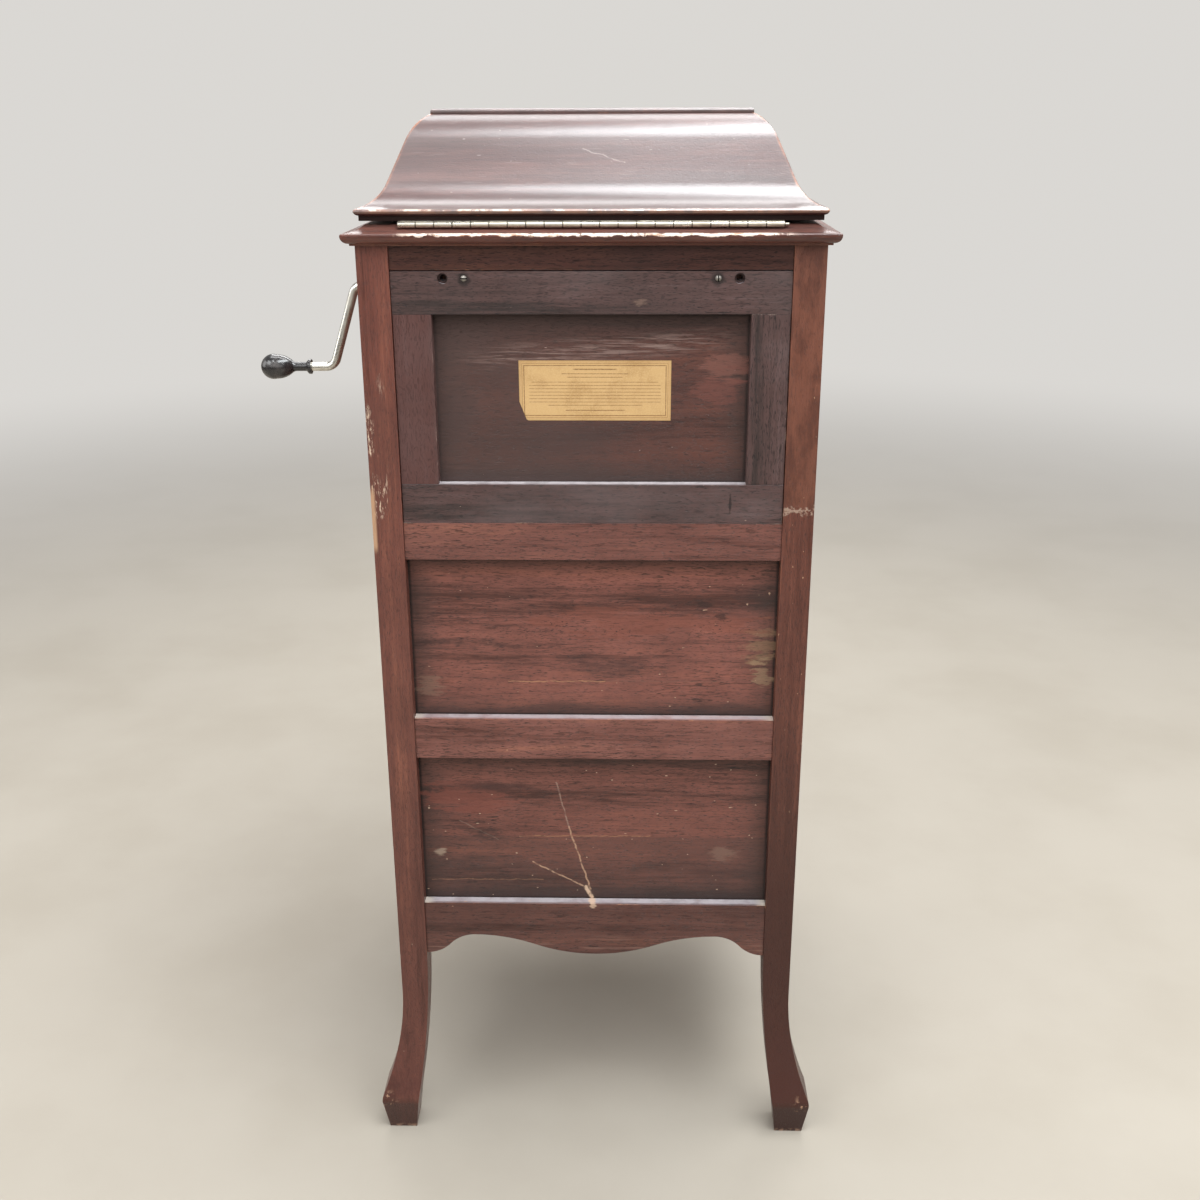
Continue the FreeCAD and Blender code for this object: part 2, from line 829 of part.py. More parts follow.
# Front: rails, shaped apron and four doors, each door hung on a pin at its top and bottom edge.
pivot_x = inner_x - s.pivot_gap - s.door_thick / 2
pivot_spots = (-pivot_x, pivot_x)


def pivot_hole(x, level, length):
    return rod(s.pivot_radius + s.running_gap, (x, door_middle_y, level), UP, length)


def front_rail(low, high, levels):
    blank = board((-inner_x, -rail_face, low), (inner_x, -rail_back, high))
    return cut(blank, [pivot_hole(x, level, length) for level, length in levels for x in pivot_spots])


blind = s.pivot_reach + s.overrun
keep("front_top_rail", front_rail(horn_top, s.post_top, [(horn_top - s.overrun, blind)]))
keep("front_middle_rail", front_rail(middle_rail_low, middle_rail_top, [
    (middle_rail_low - s.overrun, blind),
    (middle_rail_top - s.pivot_reach, blind),
]))
apron_holes = [pivot_hole(x, apron_top - s.pivot_reach, blind) for x in pivot_spots]
keep("front_apron", cut(front_apron, apron_holes))

pins = []
for x in pivot_spots:
    for edge in (horn_top, middle_rail_top, middle_rail_low, apron_top):
        pins.append(rod(s.pivot_radius, (x, door_middle_y, edge - s.pivot_reach), UP, 2 * s.pivot_reach))
keep("door_pivots", group(pins))


def door(side, low, high):
    bottom = low + s.door_gap
    top = high - s.door_gap
    free_edge = s.door_gap / 2
    (low_x, high_x) = (free_edge, pivot_x) if side > 0 else (-pivot_x, -free_edge)
    slab = board((low_x, -rail_face, bottom), (high_x, door_low_y, top))
    edge = rod(s.door_thick / 2, (pivot_x * side, door_middle_y, bottom), UP, top - bottom)
    holes = [
        pivot_hole(pivot_x * side, low - s.overrun, blind),
        pivot_hole(pivot_x * side, high - s.pivot_reach, blind),
    ]
    return cut(joined([slab, edge]), holes)


def knob(x, z):
    crown = (s.knob_length - s.knob_neck) / 2
    body = turned([
        (0, 0, None),
        (s.knob_foot_radius, 0, None),
        (s.knob_foot_radius, s.knob_foot, None),
        (s.knob_neck_radius, s.knob_foot + s.knob_foot / 2, None),
        (s.knob_neck_radius, s.knob_neck, None),
        (s.knob_radius, s.knob_neck + crown, (dome(s.knob_radius, crown), 1)),
        (0, s.knob_length, None),
    ])
    return place(body, (x, -rail_face, z), RIGHT, -BACK)


for name, low, high in (("horn", middle_rail_top, horn_top), ("record", apron_top, middle_rail_low)):
    for hand, side in (("left", -1), ("right", 1)):
        keep(f"{name}_door_{hand}", door(side, low, high))
        keep(f"{name}_knob_{hand}", knob(s.knob_in * side, (low + high) / 2))

# Case-top moulding: a mitred frame on the posts and rails.
top_reach = s.post_side + s.top_overhang
top_outline = [
    (0, 0, None),
    (s.post_side + s.top_foot_overhang, 0, None),
    (s.post_side + s.top_foot_overhang, s.top_lip, (s.top_ovolo_radius, 1)),
    (top_reach, s.top_nose_height, (s.top_nose_radius, 1)),
    (top_reach - s.top_nose_back, s.top_nose_height + s.top_nose_rise, (s.top_slope_radius, -1)),
    (s.post_side - s.top_flat_inset, s.top_height, None),
    (0, s.top_height, None),
]
SIDES = (
    ("back", BACK, -1, 0),
    ("front", -BACK, 1, 0),
    ("right", RIGHT, 0, 1),
    ("left", -RIGHT, 0, -1),
)


def around(corners, reach, height, half_x, half_y, low):
    """The four mitred lengths of a frame whose outer faces are half_x and half_y from the middle."""
    lengths = {}
    for name, outward, run_x, run_y in SIDES:
        half_run = half_x if run_x else half_y
        length = mitred(corners, reach, height, 2 * half_run)
        origin = (
            half_x * run_x + (half_x - reach) * outward.x,
            half_y * run_y + (half_y - reach) * outward.y,
            low,
        )
        lengths[name] = place(length, origin, outward, UP)
    return lengths


moulding_x = half_width + s.top_overhang
moulding_y = half_depth + s.top_overhang
moulding = around(top_outline, top_reach, s.top_height, moulding_x, moulding_y, s.post_top)
keep("top_moulding_front_back", group([moulding["front"], moulding["back"]]))
keep("top_moulding_sides", group([moulding["left"], moulding["right"]]))

# Lid: four coved boards mitred at the hips, hollow inside, under a raised top panel.
normal_out = sine(s.lid_slope_angle)
normal_up = cosine(s.lid_slope_angle)
shoulder_x = s.lid_plate_lap - s.lid_shoulder_radius * sine(s.lid_crown_angle)
shoulder_z = s.lid_height - s.lid_shoulder_radius * cosine(s.lid_crown_angle)
shoulder_inner = s.lid_shoulder_radius - s.lid_thick
crown_inner = shoulder_z + root(shoulder_inner * shoulder_inner - shoulder_x * shoulder_x)
straight_top = (
    shoulder_x + s.lid_shoulder_radius * normal_out,
    shoulder_z + s.lid_shoulder_radius * normal_up,
)
cove_z = s.lid_cove_low + s.lid_cove_radius * cosine(s.lid_cove_start_angle)
straight_low_z = cove_z - s.lid_cove_radius * normal_up
straight_low_x = straight_top[0] + (straight_top[1] - straight_low_z) / tangent(s.lid_slope_angle)
cove_x = straight_low_x + s.lid_cove_radius * normal_out
cove_low_x = cove_x - s.lid_cove_radius * sine(s.lid_cove_start_angle)
cove_inner = s.lid_cove_radius + s.lid_thick
lid_inset = cove_low_x + s.lid_ledge
wall_x = lid_inset - s.lid_wall_inset
wall_top = cove_z - root(cove_inner * cove_inner - (cove_x - wall_x) * (cove_x - wall_x))
lid_outline = [
    (wall_x, 0, None),
    (lid_inset - s.lid_foot_inset, 0, None),
    (lid_inset - s.lid_foot_inset, s.lid_foot_height, (s.lid_nose_radius, 1)),
    (lid_inset, s.lid_nose_height, None),
    (cove_low_x, s.lid_cove_low, (s.lid_cove_radius, -1)),
    (straight_low_x, straight_low_z, None),
    (straight_top[0], straight_top[1], (s.lid_shoulder_radius, 1)),
    (s.lid_plate_lap, s.lid_height, None),
    (0, s.lid_height, None),
    (0, crown_inner, (shoulder_inner, -1)),
    (shoulder_x + shoulder_inner * normal_out, shoulder_z + shoulder_inner * normal_up, None),
    (cove_x - cove_inner * normal_out, cove_z - cove_inner * normal_up, (cove_inner, 1)),
    (wall_x, wall_top, None),
]
coves = around(lid_outline, lid_inset, s.lid_height, half_width, half_depth, lid_low)
stud_hole = rod(
    s.stay_stud_radius + s.running_gap,
    (s.lid_wall_inset - half_width + s.overrun, stud_y, stud_z),
    -RIGHT,
    s.stay_stud_depth + s.overrun,
)
coves["left"] = cut(coves["left"], [stud_hole])
for name, length in coves.items():
    keep(f"lid_{name}_board", length)


def rectangle(half_x, half_y):
    return [
        (-half_x, -half_y, None),
        (half_x, -half_y, None),
        (half_x, half_y, None),
        (-half_x, half_y, None),
    ]


lid_panel = doc.addObject("PartDesign::Body", "lid_panel")
plate_sketch = new_sketch(lid_panel)
well_x = half_width - lid_inset
well_y = half_depth - lid_inset
draw(plate_sketch, rectangle(well_x + s.lid_plate_lap, well_y + s.lid_plate_lap))
plate = lid_panel.newObject("PartDesign::Pad", "plate")
plate.Profile = plate_sketch
bind(plate, {"Length": s.lid_plate_thick})
doc.recompute()
top_edges = [
    f"Edge{number}"
    for number, edge in enumerate(plate.Shape.Edges, start=1)
    if edge.BoundBox.ZMin > s.lid_plate_thick.value / 2
]
rounding = lid_panel.newObject("PartDesign::Fillet", "rounding")
rounding.Base = (plate, top_edges)
bind(rounding, {"Radius": s.lid_plate_round})
tongue_sketch = new_sketch(lid_panel)
draw(tongue_sketch, rectangle(well_x, well_y))
tongue = lid_panel.newObject("PartDesign::Pad", "tongue")
tongue.Profile = tongue_sketch
tongue.Reversed = True
bind(tongue, {"Length": s.lid_height - crown_inner})
place(keep("lid_top_panel", lid_panel), (0, 0, lid_low + s.lid_height))


# Long hinge: two leaves with interleaved knuckles; the pin is fast in the case leaf.
def hinge_leaf(first, low):
    count = int(s.hinge_knuckles.value)
    pitch = s.hinge_length / s.hinge_knuckles
    high = low + s.hinge_leaf_thick
    edge_y = hinge_y - s.hinge_radius - s.hinge_play
    half_length = s.hinge_length / 2
    shapes = [board((-half_length, hinge_y - s.hinge_leaf_width, low), (half_length, edge_y, high))]
    width = pitch - s.hinge_play
    for index in range(first, count, 2):
        start = pitch * index - half_length + s.hinge_play / 2
        shapes.append(rod(s.hinge_radius, (start, hinge_y, hinge_z), RIGHT, width))
        shapes.append(board((start, edge_y - s.hinge_leaf_thick, low), (start + width, hinge_y, high)))
    return joined(shapes)


def hinge_bar(radius, tail):
    start = (-s.hinge_length / 2 - tail, hinge_y, hinge_z)
    return rod(radius, start, RIGHT, s.hinge_length + tail)


hinge_pin = hinge_bar(s.hinge_pin_radius, s.hinge_pin_tail)
keep("lid_hinge_case_leaf", joined([hinge_leaf(0, case_top), hinge_pin]))
lid_leaf = hinge_leaf(1, lid_low - s.hinge_leaf_thick)
keep("lid_hinge_lid_leaf", cut(lid_leaf, [hinge_bar(s.hinge_pin_radius + s.running_gap, s.overrun)]))

# Lid stay. Stud and screw are equally far from the hinge, so the arm turns half as far as the lid.
closed_span = 2 * s.stay_radius * sine((s.stay_lid_angle + s.stay_case_angle) / 2)
open_span = 2 * s.stay_radius * sine((s.stay_lid_angle + s.stay_case_angle + s.lid_opening_angle) / 2)
slot_half = s.stay_screw_radius + s.stay_slot_play
stay_lean = ((s.stay_case_angle - s.stay_lid_angle) / 2).value
stay_down = FreeCAD.Rotation(RIGHT, stay_lean).multVec(-UP)
stay_across = RIGHT.cross(stay_down)
stay_bar = joined([
    board((0, -s.stay_width / 2, 0), (open_span + s.stay_end, s.stay_width / 2, s.stay_thick)),
    rod(s.stay_width / 2, (0, 0, 0), UP, s.stay_thick),
])
stay_slot = joined([
    board((closed_span, -slot_half, -s.overrun), (open_span, slot_half, s.stay_thick + s.overrun)),
    rod(slot_half, (closed_span, 0, -s.overrun), UP, s.stay_thick + 2 * s.overrun),
    rod(slot_half, (open_span, 0, -s.overrun), UP, s.stay_thick + 2 * s.overrun),
])
stud_length = stay_x - (s.lid_wall_inset - half_width) + s.stay_stud_depth
stay_stud = rod(s.stay_stud_radius, (0, 0, -stud_length), UP, stud_length + s.stay_thick)
stay = joined([cut(stay_bar, [stay_slot]), stay_stud])
place(keep("lid_stay", stay), (stay_x, stud_y, stud_z), stay_down, stay_across)
screw_end = -ledge_x - s.housing_depth
head_x = stay_x + s.stay_thick + s.stay_slot_play
keep("lid_stay_screw", joined([
    rod(s.stay_screw_radius, (screw_end, slide_y, slide_z), RIGHT, head_x - screw_end),
    rod(s.stay_head_radius, (head_x, slide_y, slide_z), RIGHT, s.stay_head_thick),
]))

# Crank: one bent rod with a thinner end, on which the pear-shaped grip turns.
grip_z = crank_z - s.crank_throw
crank_end = side_inner - s.crank_entry
elbow_run = side_face + s.crank_reach - crank_end
throw_run = s.crank_throw / tangent(s.crank_lean_angle)
lean_x = cosine(s.crank_lean_angle)
lean_y = sine(s.crank_lean_angle)
setback = s.crank_bend_radius * tangent(s.crank_lean_angle / 2)
crank_run = elbow_run + throw_run + setback
grip_start = crank_end + crank_run + s.crank_tail
crank_body = doc.addObject("PartDesign::Body", "crank_rod")
path_sketch = new_sketch(crank_body)
draw(path_sketch, [
    (0, 0, None),
    (elbow_run - setback, 0, (s.crank_bend_radius, 1)),
    (elbow_run + setback * lean_x, setback * lean_y, None),
    (
        elbow_run + throw_run - setback * lean_x,
        s.crank_throw - setback * lean_y,
        (s.crank_bend_radius, -1),
    ),
    (crank_run, s.crank_throw, None),
    (crank_run + s.crank_tail, s.crank_throw, None),
], closed=False)
rod_sketch = new_sketch(crank_body, "YZ_Plane")
draw_circle(rod_sketch, s.crank_radius)
pipe = crank_body.newObject("PartDesign::AdditivePipe", "rod")
pipe.Profile = rod_sketch
pipe.Spine = path_sketch
place(crank_body, (crank_end, s.crank_y, crank_z), RIGHT, -UP)
core_length = s.grip_length - s.grip_wall
core = rod(s.crank_core_radius, (grip_start, s.crank_y, grip_z), RIGHT, core_length)
keep("crank", joined([crank_body, core]))
bore = s.crank_core_radius + s.running_gap
neck_hollow = dome(s.grip_flank_at - s.grip_neck_end, s.grip_flank_radius - s.grip_neck_radius)
flank = dome(s.grip_bulge_at - s.grip_flank_at, s.grip_radius - s.grip_flank_radius)
grip = turned([
    (bore, 0, None),
    (s.grip_flange_radius, 0, None),
    (s.grip_flange_radius, s.grip_flange, None),
    (s.grip_neck_radius, s.grip_neck_start, None),
    (s.grip_neck_radius, s.grip_neck_end, (neck_hollow, -1)),
    (s.grip_flank_radius, s.grip_flank_at, (flank, 1)),
    (s.grip_radius, s.grip_bulge_at, (dome(s.grip_radius, s.grip_length - s.grip_bulge_at), 1)),
    (0, s.grip_length, None),
    (0, core_length, None),
    (bore, core_length, None),
])
place(keep("crank_grip", grip), (grip_start, s.crank_y, grip_z), BACK, RIGHT)
escutcheon = turned([
    (s.escutcheon_bore, 0, None),
    (s.escutcheon_radius, 0, None),
    (s.escutcheon_radius, s.escutcheon_thick - s.escutcheon_edge, None),
    (s.escutcheon_radius - s.escutcheon_edge, s.escutcheon_thick, None),
    (s.escutcheon_bore, s.escutcheon_thick, None),
])
place(keep("crank_escutcheon", escutcheon), (side_face, s.crank_y, crank_z), BACK, RIGHT)

# Spring motor: the crank's pinion drives the winding gear on the arbor of the spring barrel.
arbor_z = crank_z - s.gear_module * (s.pinion_teeth + s.gear_teeth) / 2
gear_end = s.gear_start + s.gear_thick
right_cheek = gear_end + s.cheek_gap
left_cheek = s.barrel_start - s.cheek_thick
shaft_start = s.barrel_end
pinion = gear(s.pinion_teeth, s.gear_thick)
half_tooth = FreeCAD.Rotation(RIGHT, 180 / s.pinion_teeth.value)
place(pinion, (s.gear_start, s.crank_y, crank_z), half_tooth.multVec(BACK), half_tooth.multVec(UP))
shaft = rod(s.crank_radius, (shaft_start, s.crank_y, crank_z), RIGHT, crank_end - shaft_start)
keep("winding_shaft", joined([pinion, shaft]))
wheel = place(gear(s.gear_teeth, s.gear_thick), (s.gear_start, s.crank_y, arbor_z), BACK, UP)
arbor_length = right_cheek + s.cheek_thick - left_cheek
arbor = rod(s.arbor_radius, (left_cheek, s.crank_y, arbor_z), RIGHT, arbor_length)
keep("winding_gear", joined([wheel, arbor]))


def motor_bar(radius, start, length, z):
    return rod(radius, (start, s.crank_y, z), RIGHT, length)


barrel_length = s.barrel_end - s.barrel_start
barrel = motor_bar(s.barrel_radius, s.barrel_start, barrel_length, arbor_z)
hollow = motor_bar(
    s.barrel_radius - s.barrel_wall,
    s.barrel_start + s.barrel_wall,
    barrel_length - 2 * s.barrel_wall,
    arbor_z,
)
arbor_hole = s.arbor_radius + s.running_gap
barrel_bore = motor_bar(arbor_hole, s.barrel_start - s.overrun, barrel_length + 2 * s.overrun, arbor_z)
keep("spring_barrel", cut(barrel, [hollow, barrel_bore]))
bed_low = board_low - s.bed_thick
bed = board(
    (left_cheek - s.bed_side, -s.bed_front, bed_low),
    (right_cheek + s.cheek_thick + s.bed_side, s.crank_y + s.cheek_half, board_low),
)
cheeks = []
for start in (left_cheek, right_cheek):
    cheeks.append(board(
        (start, s.crank_y - s.cheek_half, arbor_z - s.cheek_below),
        (start + s.cheek_thick, s.crank_y + s.cheek_half, bed_low),
    ))
bearing_tools = [
    motor_bar(arbor_hole, left_cheek - s.overrun, arbor_length + 2 * s.overrun, arbor_z),
    motor_bar(
        s.crank_radius + s.running_gap,
        right_cheek - s.overrun,
        s.cheek_thick + 2 * s.overrun,
        crank_z,
    ),
    rod(
        s.spindle_radius + s.running_gap,
        (s.spindle_x, s.spindle_y, bed_low - s.overrun),
        UP,
        s.bed_thick + 2 * s.overrun,
    ),
]
keep("motor_frame", cut(joined([bed] + cheeks), bearing_tools))

# Turntable: pressed platter with a rim, on the collar of the spindle.
platter_low = board_top + s.platter_lift
platter_bore = s.spindle_radius + s.running_gap
plate_under = s.platter_height - s.platter_plate
platter = turned([
    (platter_bore, 0, None),
    (s.platter_hub_radius, 0, None),
    (s.platter_hub_radius, plate_under, None),
    (s.platter_radius - s.platter_rim, plate_under, None),
    (s.platter_radius - s.platter_rim, s.platter_skirt, None),
    (s.platter_radius, s.platter_skirt, None),
    (s.platter_radius, s.platter_height - s.platter_edge, (s.platter_edge, 1)),
    (s.platter_radius - s.platter_edge, s.platter_height, None),
    (platter_bore, s.platter_height, None),
])
place(keep("turntable", platter), (s.spindle_x, s.spindle_y, platter_low), RIGHT, UP)
spindle_low = bed_low - s.spindle_below
spindle_top = platter_low + s.platter_height + s.spindle_above
collar_low = platter_low - s.spindle_collar
keep("turntable_spindle", joined([
    rod(s.spindle_radius, (s.spindle_x, s.spindle_y, spindle_low), UP, spindle_top - spindle_low),
    rod(s.spindle_collar_radius, (s.spindle_x, s.spindle_y, collar_low), UP, s.spindle_collar),
]))

# Horn elbow: iron casting from the tone arm's seat on the motor board down to the horn.
throat_y = arm_y - s.elbow_bend
throat_z = middle_rail_top + (horn_top - middle_rail_top) * s.throat_share
elbow_z = throat_z + s.elbow_bend
elbow_bore = s.arm_root_radius - s.arm_seat
collar_top = board_top + s.elbow_collar


def elbow_run_of(radius, top):
    upright = rod(radius, (arm_x, arm_y, elbow_z), UP, top - elbow_z)
    return [upright, bend(s.elbow_bend, radius, (arm_x, throat_y, elbow_z), BACK, -UP)]


flange = rod(s.elbow_flange_radius, (arm_x, arm_y, board_top), UP, s.elbow_flange_thick)
elbow_solid = joined(elbow_run_of(s.elbow_radius, collar_top) + [flange])
keep("horn_elbow", cut(elbow_solid, elbow_run_of(elbow_bore, collar_top + s.overrun)))


# Horn: four-sided wooden flare under the motor, from the elbow to the opening behind the doors.
horn_mouth = rail_back - s.louvre_depth - s.horn_setback


def flare(inset):
    shape = doc.addObject("Part::Wedge", "flare")
    half_throat = s.horn_throat / 2 - inset
    bind(shape, {
        "Ymin": -horn_mouth, "Ymax": throat_y,
        "Xmin": inset - inner_x, "Xmax": inner_x - inset,
        "Zmin": middle_rail_top + inset, "Zmax": horn_top - inset,
        "X2min": arm_x - half_throat, "X2max": arm_x + half_throat,
        "Z2min": throat_z - half_throat, "Z2max": throat_z + half_throat,
    })
    return shape


keep("horn", cut(flare(as_size(0)), [flare(s.horn_wall)]))
louvres = []
louvre_count = int(s.louvre_count.value)
louvre_pitch = (horn_top - middle_rail_top) / (s.louvre_count + 1)
for index in range(louvre_count):
    level = middle_rail_top + louvre_pitch * (index + 1)
    louvres.append(board(
        (-inner_x, -horn_mouth - s.louvre_depth, level - s.louvre_thick / 2),
        (inner_x, -horn_mouth, level + s.louvre_thick / 2),
    ))
keep("horn_louvres", group(louvres))


# Tone arm: tapered tube from a riser on the elbow's collar, turned aside at its tip.
riser_top = collar_top + s.arm_riser
arm_height = riser_top + s.arm_bend


def arm_tube(wall, slack):
    root_radius = s.arm_root_radius - wall
    tip_radius = s.arm_tip_radius - wall
    tip_x = s.arm_bend + s.arm_length
    return [
        rod(root_radius, (0, 0, collar_top - slack), UP, riser_top - collar_top + slack),
        bend(s.arm_bend, root_radius, (s.arm_bend, 0, riser_top), -RIGHT, UP),
        taper(root_radius, tip_radius, (s.arm_bend, 0, arm_height), RIGHT, s.arm_length),
        bend(s.arm_tip_bend, tip_radius, (tip_x, -s.arm_tip_bend, arm_height), BACK, RIGHT),
    ]


park_x, park_y = heading(s.park_angle.value)
arm = cut(joined(arm_tube(as_size(0), as_size(0))), arm_tube(s.arm_wall, s.overrun))
place(keep("tone_arm", arm), (arm_x, arm_y, 0), park_x, park_y)

# Goose-neck: half-turn tube that swings on the arm's tip and carries the sound box.
neck_start_x = s.arm_bend + s.arm_length + s.arm_tip_bend
neck_start_y = -s.arm_tip_bend - s.neck_play
neck_turn_y = neck_start_y - s.neck_leg
box_x = neck_start_x + 2 * s.neck_bend
box_face_y = neck_turn_y + s.neck_leg + s.neck_play


def neck_tube(radius, slack):
    first = rod(radius, (neck_start_x, neck_start_y + slack, arm_height), -BACK, s.neck_leg + slack)
    centre = (neck_start_x + s.neck_bend, neck_turn_y, arm_height)
    turn = bend(s.neck_bend, radius, centre, -RIGHT, -BACK, 180)
    last = rod(radius, (box_x, neck_turn_y, arm_height), BACK, box_face_y - neck_turn_y + slack)
    return [first, turn, last]


neck = cut(joined(neck_tube(s.neck_radius, as_size(0))), neck_tube(s.neck_radius - s.neck_wall, s.overrun))
place(keep("goose_neck", neck), (arm_x, arm_y, 0), park_x, park_y)

# Sound box: flat drum with a recessed face, needle bar and needle.
box_front_y = box_face_y + s.box_thick
drum = rod(s.box_radius, (box_x, box_face_y, arm_height), BACK, s.box_thick)
bar_y = box_front_y - s.box_recess
recess = rod(s.box_radius - s.box_rim, (box_x, bar_y, arm_height), BACK, s.box_recess + s.overrun)
needle_tip = platter_low + s.platter_height + s.needle_lift
bar_low = needle_tip + s.needle_length
bar = board(
    (box_x - s.needle_bar / 2, bar_y, bar_low),
    (box_x + s.needle_bar / 2, bar_y + s.needle_bar, arm_height),
)
needle = rod(s.needle_radius, (box_x, bar_y + s.needle_bar / 2, needle_tip), UP, s.needle_length)
sound_box = joined([cut(drum, [recess]), bar, needle])
place(keep("sound_box", sound_box), (arm_x, arm_y, 0), park_x, park_y)

# Brake lever beside the platter, and speed knob with its plate.
brake_out = s.platter_radius + s.brake_reach
brake_x = s.spindle_x + brake_out * cosine(s.brake_angle)
brake_y = s.spindle_y + brake_out * sine(s.brake_angle)
bar_bottom = s.brake_height - s.brake_bar_thick
pad_end = s.brake_reach - s.brake_pad_gap
bar_half = s.brake_bar_width / 2
brake = joined([
    rod(s.brake_boss_radius, (0, 0, 0), UP, s.brake_height),
    board((-s.brake_tail, -bar_half, bar_bottom), (pad_end, bar_half, s.brake_height)),
    board(
        (pad_end - s.brake_pad_thick, -bar_half, bar_bottom),
        (pad_end, bar_half, s.brake_height + s.brake_pad_rise),
    ),
])
inward_x, inward_y = heading(s.brake_angle.value)
place(keep("brake_lever", brake), (brake_x, brake_y, board_top), -inward_x, -inward_y)
speed_x = s.speed_side_gap - inner_x
speed_y = s.speed_front_gap - inner_y
keep("speed_knob", joined([
    rod(s.speed_plate_radius, (speed_x, speed_y, board_top), UP, s.speed_plate_thick),
    rod(s.speed_radius, (speed_x, speed_y, board_top), UP, s.speed_height),
]))

doc.recompute()
for shape in doc.Objects:
    if "Invalid" in shape.State or "Error" in shape.State:
        raise RuntimeError(f"{shape.Name} ({shape.Label}) did not build")
for shape in pieces:
    if shape.Shape.isNull() or not shape.Shape.isValid():
        raise RuntimeError(f"{shape.Label} is not a valid shape")
    shape.Shape.exportStep(f"parts/{shape.Label}.step")
print(len(pieces), "pieces written")
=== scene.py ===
import json
import math

import bpy
from bpy import ops
from mathutils import Matrix, Vector

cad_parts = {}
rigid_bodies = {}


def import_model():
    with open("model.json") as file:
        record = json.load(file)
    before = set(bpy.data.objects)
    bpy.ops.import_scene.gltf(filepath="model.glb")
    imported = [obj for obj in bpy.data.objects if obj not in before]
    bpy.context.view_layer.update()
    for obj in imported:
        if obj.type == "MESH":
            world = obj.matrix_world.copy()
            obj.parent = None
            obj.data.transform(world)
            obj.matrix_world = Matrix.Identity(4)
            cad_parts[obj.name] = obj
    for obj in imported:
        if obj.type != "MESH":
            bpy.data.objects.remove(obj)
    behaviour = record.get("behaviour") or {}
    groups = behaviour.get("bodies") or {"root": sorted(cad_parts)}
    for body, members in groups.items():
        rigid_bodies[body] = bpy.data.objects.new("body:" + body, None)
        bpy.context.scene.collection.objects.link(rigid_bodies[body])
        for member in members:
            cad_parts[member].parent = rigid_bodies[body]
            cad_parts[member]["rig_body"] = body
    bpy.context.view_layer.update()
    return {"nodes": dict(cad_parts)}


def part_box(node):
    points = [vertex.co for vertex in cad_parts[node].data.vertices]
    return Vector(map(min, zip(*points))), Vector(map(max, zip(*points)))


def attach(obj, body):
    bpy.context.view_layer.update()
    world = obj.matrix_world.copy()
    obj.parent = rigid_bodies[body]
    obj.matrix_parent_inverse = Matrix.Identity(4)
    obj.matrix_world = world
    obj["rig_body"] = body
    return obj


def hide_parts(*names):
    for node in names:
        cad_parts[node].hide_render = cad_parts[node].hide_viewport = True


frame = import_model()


# Corner posts and feet
# Solid mahogany squares, each sawn to a curved leg and foot in one piece and glued to the rails.
# The back pair is rubbed bare along the outer corner, and one was stripped and left pale at the top.
class Value:
    """Something that varies over a surface; numbers of this kind add up and multiply as usual."""

    def __init__(self, finish, socket):
        self.finish, self.socket = finish, socket

    def __add__(self, other):
        return self.finish.sum("ADD", self, other)

    def __sub__(self, other):
        return self.finish.sum("SUBTRACT", self, other)

    def __rsub__(self, other):
        return self.finish.sum("SUBTRACT", other, self)

    def __mul__(self, other):
        return self.finish.sum("MULTIPLY", self, other)

    def __abs__(self):
        return self.finish.sum("ABSOLUTE", self)


